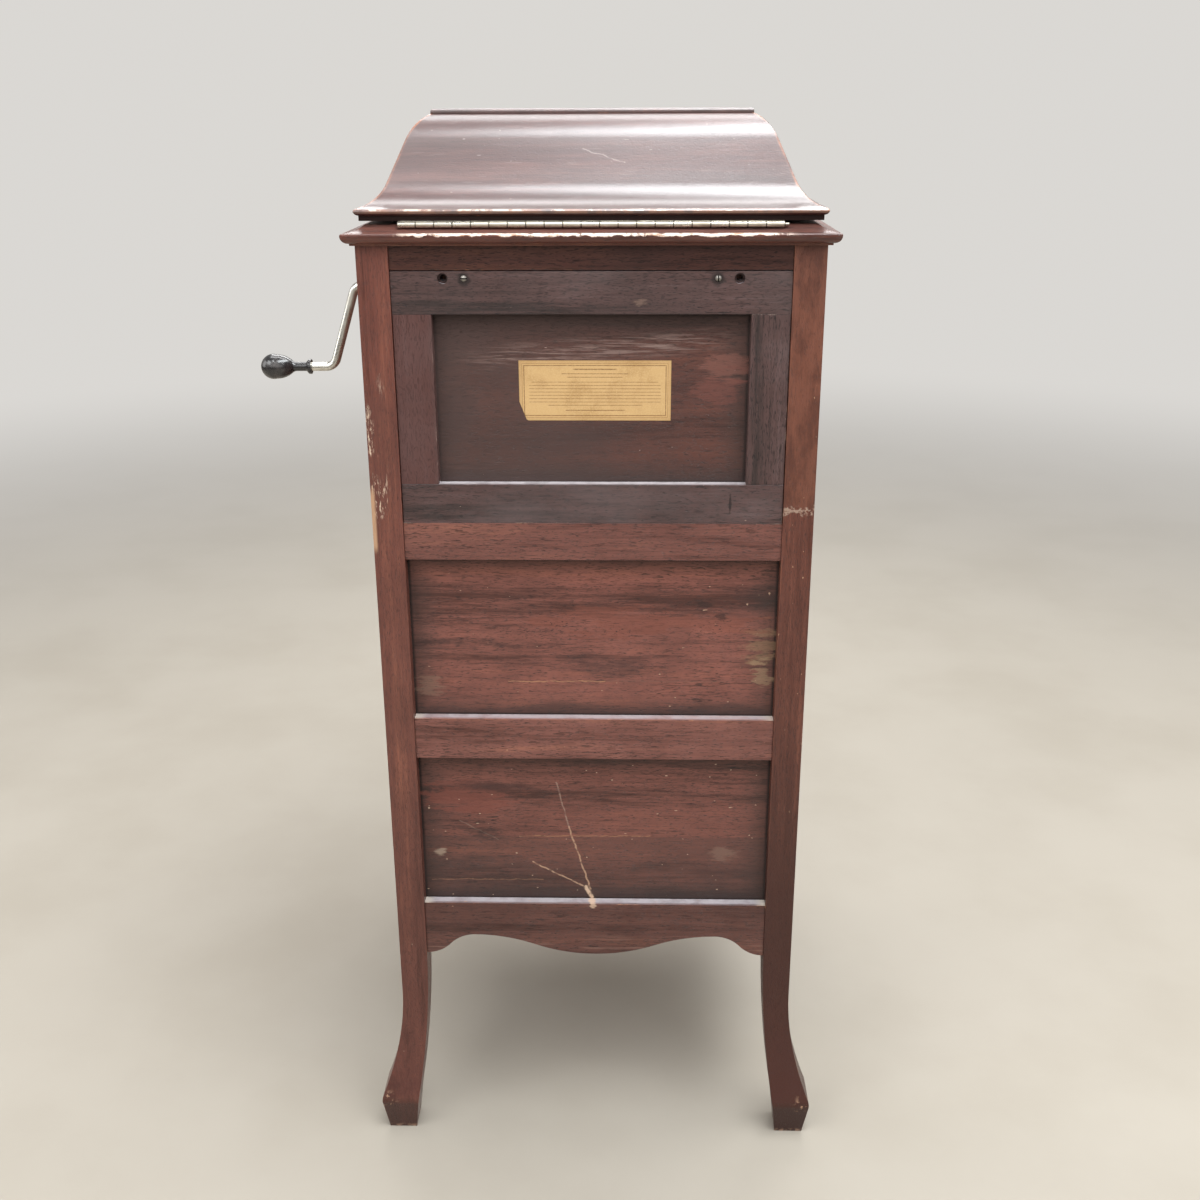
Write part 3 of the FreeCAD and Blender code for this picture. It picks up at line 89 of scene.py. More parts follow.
class Finish:
    """A surface finish built up in layers on the piece's own coordinates, in metres."""

    def __init__(self, name, roughness=0.5, metallic=0):
        self.material = bpy.data.materials.new(name)
        self.material.use_nodes = True
        self.tree = self.material.node_tree
        self.tree.nodes.clear()
        self.shader = self.tree.nodes.new("ShaderNodeBsdfPrincipled")
        surface = self.tree.nodes.new("ShaderNodeOutputMaterial")
        self.tree.links.new(self.shader.outputs[0], surface.inputs[0])
        self.at = self.add("TexCoord", out="Object")
        self.x, self.y, self.z = [self.add("SeparateXYZ", {0: self.at}, out=axis) for axis in range(3)]
        self.set("Roughness", roughness)
        self.set("Metallic", metallic)

    def add(self, kind, inputs=None, out=0, **settings):
        made = self.tree.nodes.new("ShaderNode" + kind)
        for name, value in settings.items():
            setattr(made, name, value)
        for socket, value in (inputs or {}).items():
            self.feed(made.inputs[socket], value)
        return Value(self, made.outputs[out])

    def feed(self, socket, value):
        if isinstance(value, Value):
            self.tree.links.new(value.socket, socket)
        else:
            socket.default_value = value

    def set(self, name, value):
        self.feed(self.shader.inputs[name], value)

    def sum(self, operation, first, second=0):
        return self.add("Math", {0: first, 1: second}, operation=operation)

    def vector(self, operation, first, second=(0, 0, 0), out=0):
        return self.add("VectorMath", {0: first, 1: second}, out=out, operation=operation)

    def ramp(self, value, low, high, start=0, stop=1, shape="SMOOTHSTEP"):
        inputs = {"Value": value, 1: low, 2: high, 3: start, 4: stop}
        return self.add("MapRange", inputs, interpolation_type=shape)

    def noise(self, scale, stretch=(1, 1, 1), detail=3, roughness=0.55, at=None, out=0):
        flow = self.vector("MULTIPLY", at or self.at, stretch)
        inputs = {"Vector": flow, "Scale": scale, "Detail": detail, "Roughness": roughness}
        return self.add("TexNoise", inputs, out=out)

    def cloud(self, cut, *texture, **settings):
        """A mask of soft patches: noise ramped by the numbers of the cut."""
        return self.ramp(self.noise(*texture, **settings), *cut)

    def any_of(self, mask, *others):
        """Wherever one of several masks lies."""
        for other in others:
            mask = self.sum("MAXIMUM", mask, other)
        return mask

    def band(self, value, low, high, soft):
        rise = self.ramp(value, low - soft, low + soft)
        fall = self.ramp(value, high - soft, high + soft, 1, 0)
        return rise * fall

    def mix(self, first, second, share):
        """Blends two colours, each a plain triple or one that is mixed already."""
        first, second = [(*tone, 1) if isinstance(tone, tuple) else tone for tone in (first, second)]
        inputs = {0: share, 6: first, 7: second}
        return self.add("Mix", inputs, out=2, data_type="RGBA")

    def bump(self, height, depth, strength=1, onto="Normal"):
        inputs = {"Height": height, "Distance": depth, "Strength": strength}
        self.set(onto, self.add("Bump", inputs))

    def upward(self):
        """How far the surface faces up in the piece's own frame, however the piece is turned."""
        normal = self.add("TexCoord", out="Normal")
        return self.add("SeparateXYZ", {0: normal}, out=2)

    def facing_up(self):
        return self.ramp(self.upward(), 0.55, 0.95)


class Wood(Finish):
    """Stained mahogany: grain along one axis, open pores, dirt and what is left of the shellac."""

    stretches = {"X": (0.05, 1, 1), "Y": (1, 0.05, 1), "Z": (1, 1, 0.05)}
    pore_stretches = {"X": (0.11, 1, 1), "Y": (1, 0.11, 1), "Z": (1, 1, 0.11)}
    chip_stretches = {"X": (0.4, 1, 1), "Y": (1, 0.4, 1), "Z": (1, 1, 0.4)}
    # Features of the grain per metre across it, and how far its lines wander in metres.
    drifts, figures, streaks, pores_across, flecks, patches = 5, 30, 330, 1500, 560, 11
    wander = 0.012

    def __init__(self, name, along, deep, middle, bright, roughness, coat=0, pores=0.6, mottle=1):
        super().__init__(name)
        lengthwise = self.stretches[along]
        open_grain = self.pore_stretches[along]
        drift = self.noise(self.drifts, lengthwise, detail=2, out=1)
        flow = self.vector("ADD", self.at, self.vector("MULTIPLY", drift, (self.wander,) * 3))
        figure = self.noise(self.figures, lengthwise, detail=6, roughness=0.62, at=flow)
        streak = self.noise(self.streaks, lengthwise, detail=5, roughness=0.7, at=flow)
        pore = self.cloud((0.57, 0.67), self.pores_across, open_grain, detail=1.5, at=flow)
        fleck = self.cloud((0.58, 0.68), self.flecks, open_grain, detail=3, at=flow)
        patch = self.cloud((0.38, 0.7), self.patches, detail=5, roughness=0.65)
        tone = figure * 0.62 + streak * 0.38
        colour = self.mix(deep, middle, self.ramp(tone, 0.36, 0.52))
        colour = self.mix(colour, bright, self.ramp(tone, 0.5, 0.68))
        shade = tuple(0.3 * part for part in deep)
        colour = self.mix(colour, shade, pore * pores)
        colour = self.mix(colour, shade, fleck * (0.75 * pores * mottle))
        self.colour = self.mix(colour, deep, patch * (0.38 * mottle))
        self.along = along
        self.streak = streak
        self.height = streak * 0.35 - pore * 0.8
        self.rough = self.ramp(patch, 0, 1, roughness - 0.05 * mottle, roughness + 0.12 * mottle)
        self.set("Specular IOR Level", 0.36)
        self.set("Coat Weight", coat)
        self.set("Coat Roughness", 0.22)

    def lay(self, colour, mask, roughness=None):
        """Lays another colour over the wood where the mask says, with its own roughness."""
        self.colour = self.mix(self.colour, colour, mask)
        if roughness is not None:
            self.rough = self.add("Mix", {0: mask, 2: self.rough, 3: roughness})

    def bare_edges(self, colour, amount):
        """Arrises rubbed through to the bare wood, more in some stretches than in others."""
        arris = self.add("Attribute", out="Fac", attribute_name="arris")
        rubbed = self.cloud((0.62 - amount, 0.72 - 0.6 * amount), 34, detail=6, roughness=0.7)
        self.lay(colour, arris * rubbed, 0.6)

    def dust(self, colour, amount, face=None):
        """Grey bloom of dust on whatever faces up, wiped off along the face where one is named."""
        lying = self.facing_up() * self.cloud((0.25, 0.6, 0.6, 1), 60, detail=4)
        if face is not None:
            lying = lying * self.ramp(self.y, face - 0.0045, face - 0.0015, 1, 0.3)
        self.lay(colour, lying * amount, 0.8)

    def specks(self, colour, amount=0.8, rare=0.875):
        """Small chips and paint flecks, a millimetre or two long, scattered along the grain."""
        spot = self.noise(430, self.chip_stretches[self.along], detail=0)
        self.lay(colour, self.ramp(spot, rare, rare + 0.02) * amount, 0.6)

    def scratch(self, start, stop, width, colour, amount=0.9):
        """One long scratch in the plane of the back, from point to point (x, z)."""
        shake = 0.004
        wander = self.vector("MULTIPLY", self.noise(90, detail=2, out=1), (shake, 0, shake))
        here = self.vector("ADD", self.vector("MULTIPLY", self.at, (1, 0, 1)), wander)
        away = self.vector("SUBTRACT", here, (start[0] + shake / 2, 0, start[1] + shake / 2))
        run = (stop[0] - start[0], 0, stop[1] - start[1])
        length = math.hypot(run[0], run[2])
        share = self.vector("DOT_PRODUCT", away, run, out=1)
        share = self.ramp(share, 0, length * length, shape="LINEAR")
        foot = self.add("VectorMath", {0: run, "Scale": share}, operation="SCALE")
        gap = self.vector("DISTANCE", away, foot, out=1)
        line = self.ramp(gap, 0.35 * width, width, 1, 0)
        broken = self.cloud((0.32, 0.52, 0.25, 1), 160, detail=2)
        self.lay(colour, line * broken * amount, 0.7)

    def spot(self, centre, reach, colour, amount=0.8, ragged=0.5, soft=0.45):
        """One patch on the back, centred at (x, z), with ragged edges along the grain."""
        here = self.vector("SUBTRACT", self.at, (centre[0], 0, centre[1]))
        here = self.vector("MULTIPLY", here, (1 / reach[0], 0, 1 / reach[1]))
        gap = self.vector("LENGTH", here, out=1)
        tatter = self.noise(70, (0.25, 1, 1), detail=5, roughness=0.7)
        edge = gap + self.ramp(tatter, 0.25, 0.75, -ragged, ragged)
        self.lay(colour, self.ramp(edge, 1 - soft, 1, 1, 0) * amount, 0.75)

    def done(self, grain_depth=0.0003):
        self.set("Base Color", self.colour)
        self.set("Roughness", self.rough)
        self.bump(self.height, grain_depth)
        return self.material


bench_faces = [bpy.data.materials.new(face) for face in ("flat", "arris")]
SAME_POINT = 0.000002
SAME_FLAT = math.radians(0.2)
SHARP_CORNER = math.radians(28)
SMOOTH_BELOW = math.radians(40)


def worked(node_name, arris, stays_sharp=None):
    """The solid as it left the bench: its flats made whole, its sharp arrises taken off."""
    piece = bpy.data.objects.new(f"{node_name}_worked", frame["nodes"][node_name].data.copy())
    bpy.context.scene.collection.objects.link(piece)
    ops.object.select_all(action="DESELECT")
    bpy.context.view_layer.objects.active = piece
    piece.select_set(True)
    piece.data.materials.clear()
    for face in bench_faces:
        piece.data.materials.append(face)
    ops.object.mode_set(mode="EDIT")
    ops.mesh.select_mode(type="EDGE")
    ops.mesh.select_all(action="SELECT")
    ops.mesh.remove_doubles(threshold=SAME_POINT)
    ops.mesh.customdata_custom_splitnormals_clear()
    ops.mesh.dissolve_limited(angle_limit=SAME_FLAT)
    if arris:
        ops.mesh.select_all(action="DESELECT")
        ops.mesh.edges_select_sharp(sharpness=SHARP_CORNER)
        if stays_sharp:
            ops.object.mode_set(mode="OBJECT")
            points = piece.data.vertices
            for edge in piece.data.edges:
                if edge.select and stays_sharp(*[points[number].co for number in edge.vertices]):
                    edge.select = False
            ops.object.mode_set(mode="EDIT")
        ops.mesh.bevel(offset=arris, segments=2, affect="EDGES", clamp_overlap=True, material=1)
    ops.object.mode_set(mode="OBJECT")
    bare = piece.data.attributes.new("arris", "FLOAT", "FACE")
    for face in piece.data.polygons:
        bare.data[face.index].value = face.material_index
        face.material_index = 0
    ops.object.shade_smooth_by_angle(angle=SMOOTH_BELOW)
    flats = piece.modifiers.new("true_flats", "WEIGHTED_NORMAL")
    flats.keep_sharp = True
    ops.object.modifier_apply(modifier=flats.name)
    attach(piece, frame["nodes"][node_name]["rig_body"])
    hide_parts(node_name)
    return piece


def finished(node_names, material, arris=None, **bench):
    """Gives like pieces one finish: worked copies where an arris is named, else the solids as they are."""
    for node_name in node_names:
        piece = frame["nodes"][node_name] if arris is None else worked(node_name, arris, **bench)
        piece.data.materials.clear()
        piece.data.materials.append(material)


POST_DEEP = (0.06, 0.017, 0.011)
POST_RED = (0.15, 0.05, 0.036)
POST_BRIGHT = (0.25, 0.088, 0.055)
POST_DULL = (0.122, 0.041, 0.028)
POST_ARRIS = 0.0014
BARE_TAN = (0.36, 0.165, 0.088)
PALE_SCUFF = (0.62, 0.46, 0.34)
TOE_LEVEL = 0.041
TOE_DARK = (0.03, 0.016, 0.014)
TOE_CHIP = (0.42, 0.25, 0.16)
RIM_CHIP = (0.36, 0.22, 0.15)


def foot_wear(wood, grime):
    """Legs darken towards the floor as painted shade, darker still below the toe break, and the toes are
    kicked and chipped.
    """
    # Painted shade: the legs laid darker towards the floor, by the amount given.
    wood.lay(POST_DEEP, wood.ramp(wood.z, 0.58, 0.14, 0, grime))
    # Darker below the toe break.
    wood.lay(TOE_DARK, wood.ramp(wood.z, TOE_LEVEL, TOE_LEVEL - 0.004, 0, 0.45))
    kicked = wood.cloud((0.56, 0.62), 150, detail=5, roughness=0.7)
    out = abs(wood.x) + abs(wood.y)
    tip = wood.band(wood.z, TOE_LEVEL - 0.008, TOE_LEVEL + 0.012, 0.006)
    wood.lay(TOE_CHIP, kicked * tip * wood.ramp(out, 0.522, 0.538), 0.7)
    rim = wood.ramp(wood.z, 0.006, 0.001)
    wood.lay(RIM_CHIP, rim * wood.cloud((0.48, 0.58), 210, detail=4) * 0.8, 0.8)


# The post by the crank: its outer corner is scuffed pale, and worn through below that.
SCUFFED_LEVELS = (0.745, 0.915)
WORN_LEVELS = (0.735, 0.8)
WORN_TAN = (0.46, 0.27, 0.16)
post = Wood("post_scuffed", "Z", POST_DEEP, POST_RED, POST_BRIGHT, 0.36, coat=0.25, pores=0.35)
scuffs = (
    post.cloud((0.53, 0.6), 330, (1, 1, 0.16), detail=5, roughness=0.8)
    * post.cloud((0.46, 0.58), 48, (1, 1, 0.5), detail=3)
    * post.band(post.z, *SCUFFED_LEVELS, 0.012)
    * post.ramp(post.x, 0.206, 0.219)
    * post.ramp(post.y, 0.236, 0.252)
)
post.lay(PALE_SCUFF, scuffs, 0.7)
corner = post.ramp(post.x, 0.2245, 0.2275) * post.ramp(post.y, 0.2545, 0.2575)
post.lay(WORN_TAN, post.band(post.z, *WORN_LEVELS, 0.006) * corner, 0.6)
post.specks(PALE_SCUFF)
foot_wear(post, 0.4)
post.bare_edges(BARE_TAN, 0.09)
finished(["rear_right_post"], post.done(), arris=POST_ARRIS)

# The other back post: stripped above one level, with a torn edge of old finish, and dark below with painted
# shade.
STRIPPED_ABOVE = 0.776
STRIPPED_TAN = (0.205, 0.074, 0.042)
FLAME_DARK = (0.075, 0.024, 0.015)
TORN_EDGE = (0.46, 0.34, 0.26)
ORANGE_CHIP = (0.55, 0.34, 0.2)
STRIPPED_POST_SHADE = (0.026, 0.009, 0.007)
post = Wood("post_stripped", "Z", POST_DEEP, POST_DULL, POST_BRIGHT, 0.38, 0.12, 0.45)
streaky = post.z + post.ramp(post.streak, 0.3, 0.7, -0.006, 0.006)
above = post.ramp(streaky, STRIPPED_ABOVE, STRIPPED_ABOVE + 0.007)
flame = post.cloud((0.42, 0.6), 42, (1, 1, 0.38), detail=7, roughness=0.68)
post.lay(STRIPPED_TAN, above * 0.5, 0.5)
post.lay(FLAME_DARK, above * flame * 0.75)
torn = post.z + post.cloud((0.3, 0.7, -0.005, 0.005), 150, detail=4)
torn = post.band(torn, STRIPPED_ABOVE + 0.0005, STRIPPED_ABOVE + 0.0055, 0.0015)
ragged = post.cloud((0.4, 0.6), 210, detail=4)
post.lay(TORN_EDGE, torn * ragged * 0.6, 0.7)
post.specks(ORANGE_CHIP, rare=0.83)
# Painted shade: this post laid darker again towards the floor.
post.lay(STRIPPED_POST_SHADE, post.ramp(post.z, 0.62, 0.2, 0, 0.88))
foot_wear(post, 0.7)
post.bare_edges(BARE_TAN, 0.09)
finished(["rear_left_post"], post.done(), arris=POST_ARRIS)

post = Wood("post_front", "Z", POST_DEEP, POST_RED, POST_BRIGHT, 0.3, 0.35, 0.3, mottle=0.3)
foot_wear(post, 0.4)
post.bare_edges(BARE_TAN, 0.06)
finished(["front_left_post", "front_right_post"], post.done(), arris=POST_ARRIS)


# Rails and shaped aprons
# Mahogany boards glued between the posts, grain along the width of the case.
# Their top ledges hold a bloom of dust, and the lower edges of the aprons are sawn to a double arch.
RAIL_TONES = [(0.062, 0.02, 0.014), (0.154, 0.06, 0.047), (0.255, 0.1, 0.066)]
RAIL_ARRIS = 0.0007
RAIL_CHIP = (0.5, 0.3, 0.19)
DUST_GREY = (0.52, 0.49, 0.52)
OLD_FILLER = (0.62, 0.54, 0.44)
rail_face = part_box("back_lower_rail")[1].y


def shaded(tones, shade):
    """The same wood made lighter or darker all over."""
    return [tuple(shade * part for part in tone) for tone in tones]


def railing(name, shade, dusty=0.6):
    """Rail wood, lighter or darker all over by shade, 1 being full colour; the top rail's dark is painted
    shade.
    """
    wood = Wood(name, "X", *shaded(RAIL_TONES, shade), 0.4, coat=0.15, pores=0.85)
    wood.bare_edges(BARE_TAN, 0.05)
    wood.dust(DUST_GREY, dusty, rail_face)
    ends = wood.ramp(abs(wood.x), 0.184, 0.196)
    wood.lay(OLD_FILLER, wood.facing_up() * ends * (0.85 * dusty), 0.85)
    wood.specks(RAIL_CHIP, 0.7)
    return wood


finished(["back_middle_rail"], railing("rail_middle", 1.12).done(), arris=RAIL_ARRIS)
finished(["back_lower_rail"], railing("rail_lower", 1.32).done(), arris=RAIL_ARRIS)
# Painted shade: the top rail is made dark all over to stand in for the shadow under the moulding.
top_rail = railing("rail_grimed", 0.38)
top_rail.set("Coat Weight", 0.03)
top_rail.set("Specular IOR Level", 0.28)
finished(["back_top_rail"], top_rail.done(), arris=RAIL_ARRIS)

SAW_MARK = (0.24, 0.13, 0.1)
LEDGE_CHIP = (0.6, 0.42, 0.3)
apron = railing("apron_mahogany", 0.72, dusty=0.7)
sawn = apron.cloud((0.56, 0.66), 300, (0.05, 1, 1), detail=3)
apron.lay(SAW_MARK, sawn * apron.ramp(apron.z, 0.272, 0.242, 0, 0.5))
apron.spot((0.003, 0.304), (0.0058, 0.0062), LEDGE_CHIP, 0.8, 0.9)
finished(["back_apron"], apron.done(), arris=RAIL_ARRIS)

front_rail = railing("rail_front", 1, dusty=0.08)
finished(["front_top_rail", "front_middle_rail", "front_apron"], front_rail.done(), arris=RAIL_ARRIS)


# Fixed back panels
# Thin mahogany boards set in grooves 13 mm behind the rails, with dark streaks, knots and mends.
# The upper one is rubbed yellow by one edge, the lower one is scratched and chipped at the ledge.
PANEL_TONES = [(0.056, 0.02, 0.015), (0.18, 0.066, 0.05), (0.26, 0.09, 0.06)]
SMOKE = (0.028, 0.017, 0.016)
PIT_BLACK = (0.014, 0.008, 0.007)
EDGE_GRIME_AND_SHADE = (0.042, 0.027, 0.023)
TIDE_GRIME = (0.03, 0.02, 0.018)
CREASE_SHADOW = (0.01, 0.006, 0.005)


def back_board(name, low, high, shade, smoky=0.55, half=0.198):
    """A recessed board between ledges at low and high, darkened along its edges by grime and painted shade,
    with painted shadow black in its corners.
    """
    board = Wood(name, "X", *shaded(PANEL_TONES, shade), 0.4, coat=0.12, pores=0.75)
    out = abs(board.x)
    smoke = board.cloud((0.5, 0.66), 17, (0.22, 1, 1), detail=5, roughness=0.62)
    board.lay(SMOKE, smoke * smoky)
    pitted = board.cloud((0.6, 0.68), 520, (0.12, 1, 1), detail=2)
    zone = board.cloud((0.48, 0.58), 9, (0.5, 1, 1), detail=3)
    board.lay(PIT_BLACK, pitted * zone * 0.85)
    # Grime and painted shade: the board darkened within a few centimetres of its sides, top and bottom.
    edges = board.any_of(
        board.ramp(out, half - 0.04, half),
        board.ramp(board.z, low + 0.03, low),
        board.ramp(board.z, high - 0.03, high),
    )
    board.lay(EDGE_GRIME_AND_SHADE, edges * 0.5, 0.6)
    uneven = board.cloud((0.3, 0.7, -0.005, 0.005), 40, (0.3, 1, 1), detail=4)
    tide = board.ramp(board.z + uneven, low + 0.02, low + 0.003, 0, 0.62)
    board.lay(TIDE_GRIME, tide, 0.6)
    # Painted shadow: a near-black line a few millimetres wide along the sides, top and bottom of the
    # recess.
    recess_shadow = board.any_of(
        board.ramp(out, half - 0.004, half - 0.001),
        board.ramp(board.z, high - 0.007, high - 0.001),
        board.ramp(board.z, low + 0.003, low),
    )
    board.lay(CREASE_SHADOW, recess_shadow * 0.85, 0.8)
    return board


# Patches give centre and reach as (x, z), colour, strength, raggedness and, for some, softness;
# scratches give both ends as (x, z), width, colour and strength.
KNOT = (0.018, 0.01, 0.009)
DARK_STREAK = (0.018, 0.011, 0.01)
DARK_PIT = (0.02, 0.011, 0.01)
UPPER_CHIP = (0.46, 0.3, 0.2)
UPPER_PATCHES = [
    ((-0.188, 0.618), (0.02, 0.026), (0.27, 0.165, 0.092), 0.45, 1),
    ((-0.186, 0.59), (0.013, 0.022), (0.33, 0.22, 0.13), 0.5, 0.9),
    ((-0.06, 0.648), (0.12, 0.016), (0.2, 0.062, 0.04), 0.5, 0.9),
    ((-0.01, 0.596), (0.09, 0.02), SMOKE, 0.6, 0.6, 1.2),
    ((0.18, 0.577), (0.014, 0.012), (0.24, 0.16, 0.11), 0.3, 1),
    ((-0.12, 0.668), (0.013, 0.008), KNOT, 0.6, 0.9),
    ((-0.138, 0.657), (0.006, 0.004), KNOT, 0.6, 0.9),
    ((0.15, 0.625), (0.065, 0.006), DARK_STREAK, 0.6, 0.8, 0.9),
    ((0.085, 0.6215), (0.055, 0.0055), DARK_STREAK, 0.6, 0.8, 0.9),
]
UPPER_SCRATCHES = [
    ((0.094, 0.579), (-0.013, 0.5797), 0.0009, (0.44, 0.23, 0.12), 0.6),
    ((-0.013, 0.5797), (-0.15, 0.58), 0.0007, (0.16, 0.09, 0.07), 0.5),
]
upper_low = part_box("back_lower_rail")[1].z
upper_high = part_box("back_middle_rail")[0].z
upper = back_board("panel_upper", upper_low, upper_high, 1.25)
for patch in UPPER_PATCHES:
    upper.spot(*patch)
pits = (
    upper.cloud((0.57, 0.65), 620, (0.3, 1, 1), detail=3, roughness=0.65)
    * upper.cloud((0.42, 0.6), 38, (0.6, 1, 1), detail=3)
    * upper.band(upper.z, 0.63, 0.664, 0.014)
    * upper.band(upper.x, -0.175, 0.13, 0.05)
)
upper.lay(DARK_PIT, pits)
for scratch in UPPER_SCRATCHES:
    upper.scratch(*scratch)
upper.specks(UPPER_CHIP)
finished(["back_upper_panel"], upper.done())

LOWER_HAZE = (0.045, 0.029, 0.026)
LOWER_CHIP = (0.52, 0.36, 0.25)
RED_PATCH = (0.2, 0.06, 0.042)
LOWER_SCRATCHES = [
    ((0.043, 0.454), (0.029, 0.397), 0.0012, (0.34, 0.23, 0.18), 0.6),
    ((0.029, 0.397), (0.005, 0.316), 0.0013, (0.5, 0.31, 0.2), 0.7),
    ((0.072, 0.351), (0.01, 0.318), 0.0012, (0.54, 0.34, 0.22), 0.7),
    ((0.01, 0.318), (0.004, 0.305), 0.0034, (0.66, 0.47, 0.33), 0.9),
    ((0.086, 0.385), (-0.064, 0.3865), 0.0009, (0.38, 0.19, 0.1), 0.5),
    ((0.19, 0.327), (0.06, 0.328), 0.0009, (0.34, 0.17, 0.1), 0.4),
    ((0.155, 0.405), (0.11, 0.38), 0.0009, (0.2, 0.13, 0.1), 0.6),
]
LOWER_PATCHES = [
    ((0.179, 0.363), (0.0085, 0.0055), (0.36, 0.27, 0.2), 0.7, 0.6),
    ((0.13, 0.392), (0.032, 0.012), (0.026, 0.017, 0.015), 0.7, 0.8, 1),
    ((-0.148, 0.366), (0.014, 0.01), (0.24, 0.15, 0.11), 0.4, 1, 0.8),
    ((0.12, 0.448), (0.055, 0.01), SMOKE, 0.7, 0.7, 1),
]
lower_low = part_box("back_apron")[1].z
lower_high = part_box("back_lower_rail")[0].z
lower = back_board("panel_lower", lower_low, lower_high, 0.98)
lower.lay(LOWER_HAZE, lower.ramp(lower.z, 0.387, 0.383, 0, 0.35))
lower.spot((0.14, 0.435), (0.06, 0.022), RED_PATCH, 0.6, 0.8)
for scratch in LOWER_SCRATCHES:
    lower.scratch(*scratch)
for patch in LOWER_PATCHES:
    lower.spot(*patch)
lower.specks(LOWER_CHIP, rare=0.86)
finished(["back_lower_panel"], lower.done())


# Side panels
# Wide veneered boards let into the posts, grain upright, polished on the outside.
BOARD_ARRIS = 0.0008
side_board = Wood("side_mahogany", "Z", POST_DEEP, POST_RED, POST_BRIGHT, 0.3, 0.35, 0.3, mottle=0.3)
side_board.bare_edges(BARE_TAN, 0.05)
finished(["right_side_panel", "left_side_panel"], side_board.done(), arris=BOARD_ARRIS)


# Boards inside the case
# Storage floor, record shelves and motor board: plain mahogany, oiled more than polished,
# housed in the side panels and notched round the posts.
SHELF_TONES = [(0.085, 0.034, 0.02), (0.205, 0.083, 0.048), (0.31, 0.14, 0.085)]
shelf = Wood("shelf_mahogany", "X", *SHELF_TONES, 0.48)
shelf.bare_edges(BARE_TAN, 0.06)
finished(["storage_floor", "record_shelves", "motor_board"], shelf.done(), arris=BOARD_ARRIS)


# Access frame of the motor chamber
# Two rails, two stiles and a recessed board, screwed on as one piece so that the motor can be reached.
# It was stained apart from the case and has gone dull, grey and pitted.
FRAME_TONES = [(0.032, 0.02, 0.018), (0.086, 0.046, 0.042), (0.135, 0.084, 0.08)]
FRAME_HAZE = (0.15, 0.112, 0.11)
FRAME_BARE = (0.33, 0.24, 0.2)
FRAME_DUST = (0.6, 0.55, 0.57)
FRAME_CHIP = (0.42, 0.3, 0.24)
access_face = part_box("access_bottom_rail")[1].y


def access_board(name, along):
    """Wood of the access frame, hazed with age, bare at its edges and dusty on its ledges."""
    board = Wood(name, along, *FRAME_TONES, 0.46, coat=0.05, pores=0.85)
    haze = board.cloud((0.45, 0.75), 14, (0.5, 1, 1), detail=5)
    board.lay(FRAME_HAZE, haze * 0.4, 0.6)
    board.bare_edges(FRAME_BARE, 0.07)
    board.dust(FRAME_DUST, 0.75, access_face)
    board.specks(FRAME_CHIP, 0.7)
    return board


SCRAPE = (0.3, 0.19, 0.14)
SPLIT = (0.016, 0.011, 0.01)
SCREW_SHADOW = (0.012, 0.008, 0.007)
SHADOW_REACH = (0.0085, 0.0085)
access_rail = access_board("access_rail_wood", "X")
access_rail.spot((-0.048, 0.992), (0.01, 0.004), SCRAPE, 0.35, 0.9)
access_rail.spot((-0.143, 0.787), (0.002, 0.014), SPLIT, 0.8, 0.4)
screws_low, screws_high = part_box("access_screws")
screw_level = (screws_low.z + screws_high.z) / 2
screw_radius = (screws_high.z - screws_low.z) / 2
screw_out = screws_high.x - screw_radius
for side in (-screw_out, screw_out):
    access_rail.spot((side, screw_level), SHADOW_REACH, SCREW_SHADOW, 0.8, 0.25)
finished(["access_top_rail", "access_bottom_rail"], access_rail.done(0.0005), arris=BOARD_ARRIS)

REDDER_STILE = (0.095, 0.034, 0.028)
access_stile = access_board("access_stile_wood", "Z")
access_stile.lay(REDDER_STILE, access_stile.ramp(access_stile.x, 0.15, 0.165, 0, 0.65))
finished(["access_stiles"], access_stile.done(0.0004), arris=BOARD_ARRIS)

ACCESS_HALF = 0.1585
AGED_BROWN = (0.074, 0.045, 0.04)
WEATHERED = (0.22, 0.145, 0.125)
WEATHERED_SLOPE = -0.085
ACCESS_CHIP = (0.44, 0.32, 0.27)
ACCESS_PATCHES = [
    ((-0.135, 0.925), (0.03, 0.018), (0.2, 0.08, 0.06), 0.55, 0.6),
    ((0.135, 0.88), (0.02, 0.03), (0.06, 0.034, 0.03), 0.5, 0.6),
    ((-0.128, 0.905), (0.034, 0.016), (0.17, 0.056, 0.042), 0.5, 0.9),
]
opening_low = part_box("access_bottom_rail")[1].z
opening_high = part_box("access_top_rail")[0].z
access = back_board("panel_access", opening_low, opening_high, 0.57, 0.35, ACCESS_HALF)
access.lay(AGED_BROWN, access.ramp(access.x, -0.15, 0.1, 0.2, 0.6))
sloping = access.z - access.x * WEATHERED_SLOPE
weathered = (
    access.cloud((0.46, 0.62), 420, (0.05, 1, 1), detail=4, roughness=0.7)
    * access.band(sloping, 0.934, 0.952, 0.009)
    * access.band(access.x, -0.12, 0.11, 0.04)
)
access.lay(WEATHERED, weathered, 0.6)
for patch in ACCESS_PATCHES:
    access.spot(*patch)
access.specks(ACCESS_CHIP, rare=0.89)
finished(["access_panel"], access.done(0.0004))


# Screws of the access frame
# Two round-headed slotted screws, steel gone brown, driven through the top rail into the motor board; their
# slots are painted black as painted shade.
JOINT_GRIME = (0.05, 0.04, 0.03)
SLOT_SHADOW = (0.012, 0.01, 0.009)


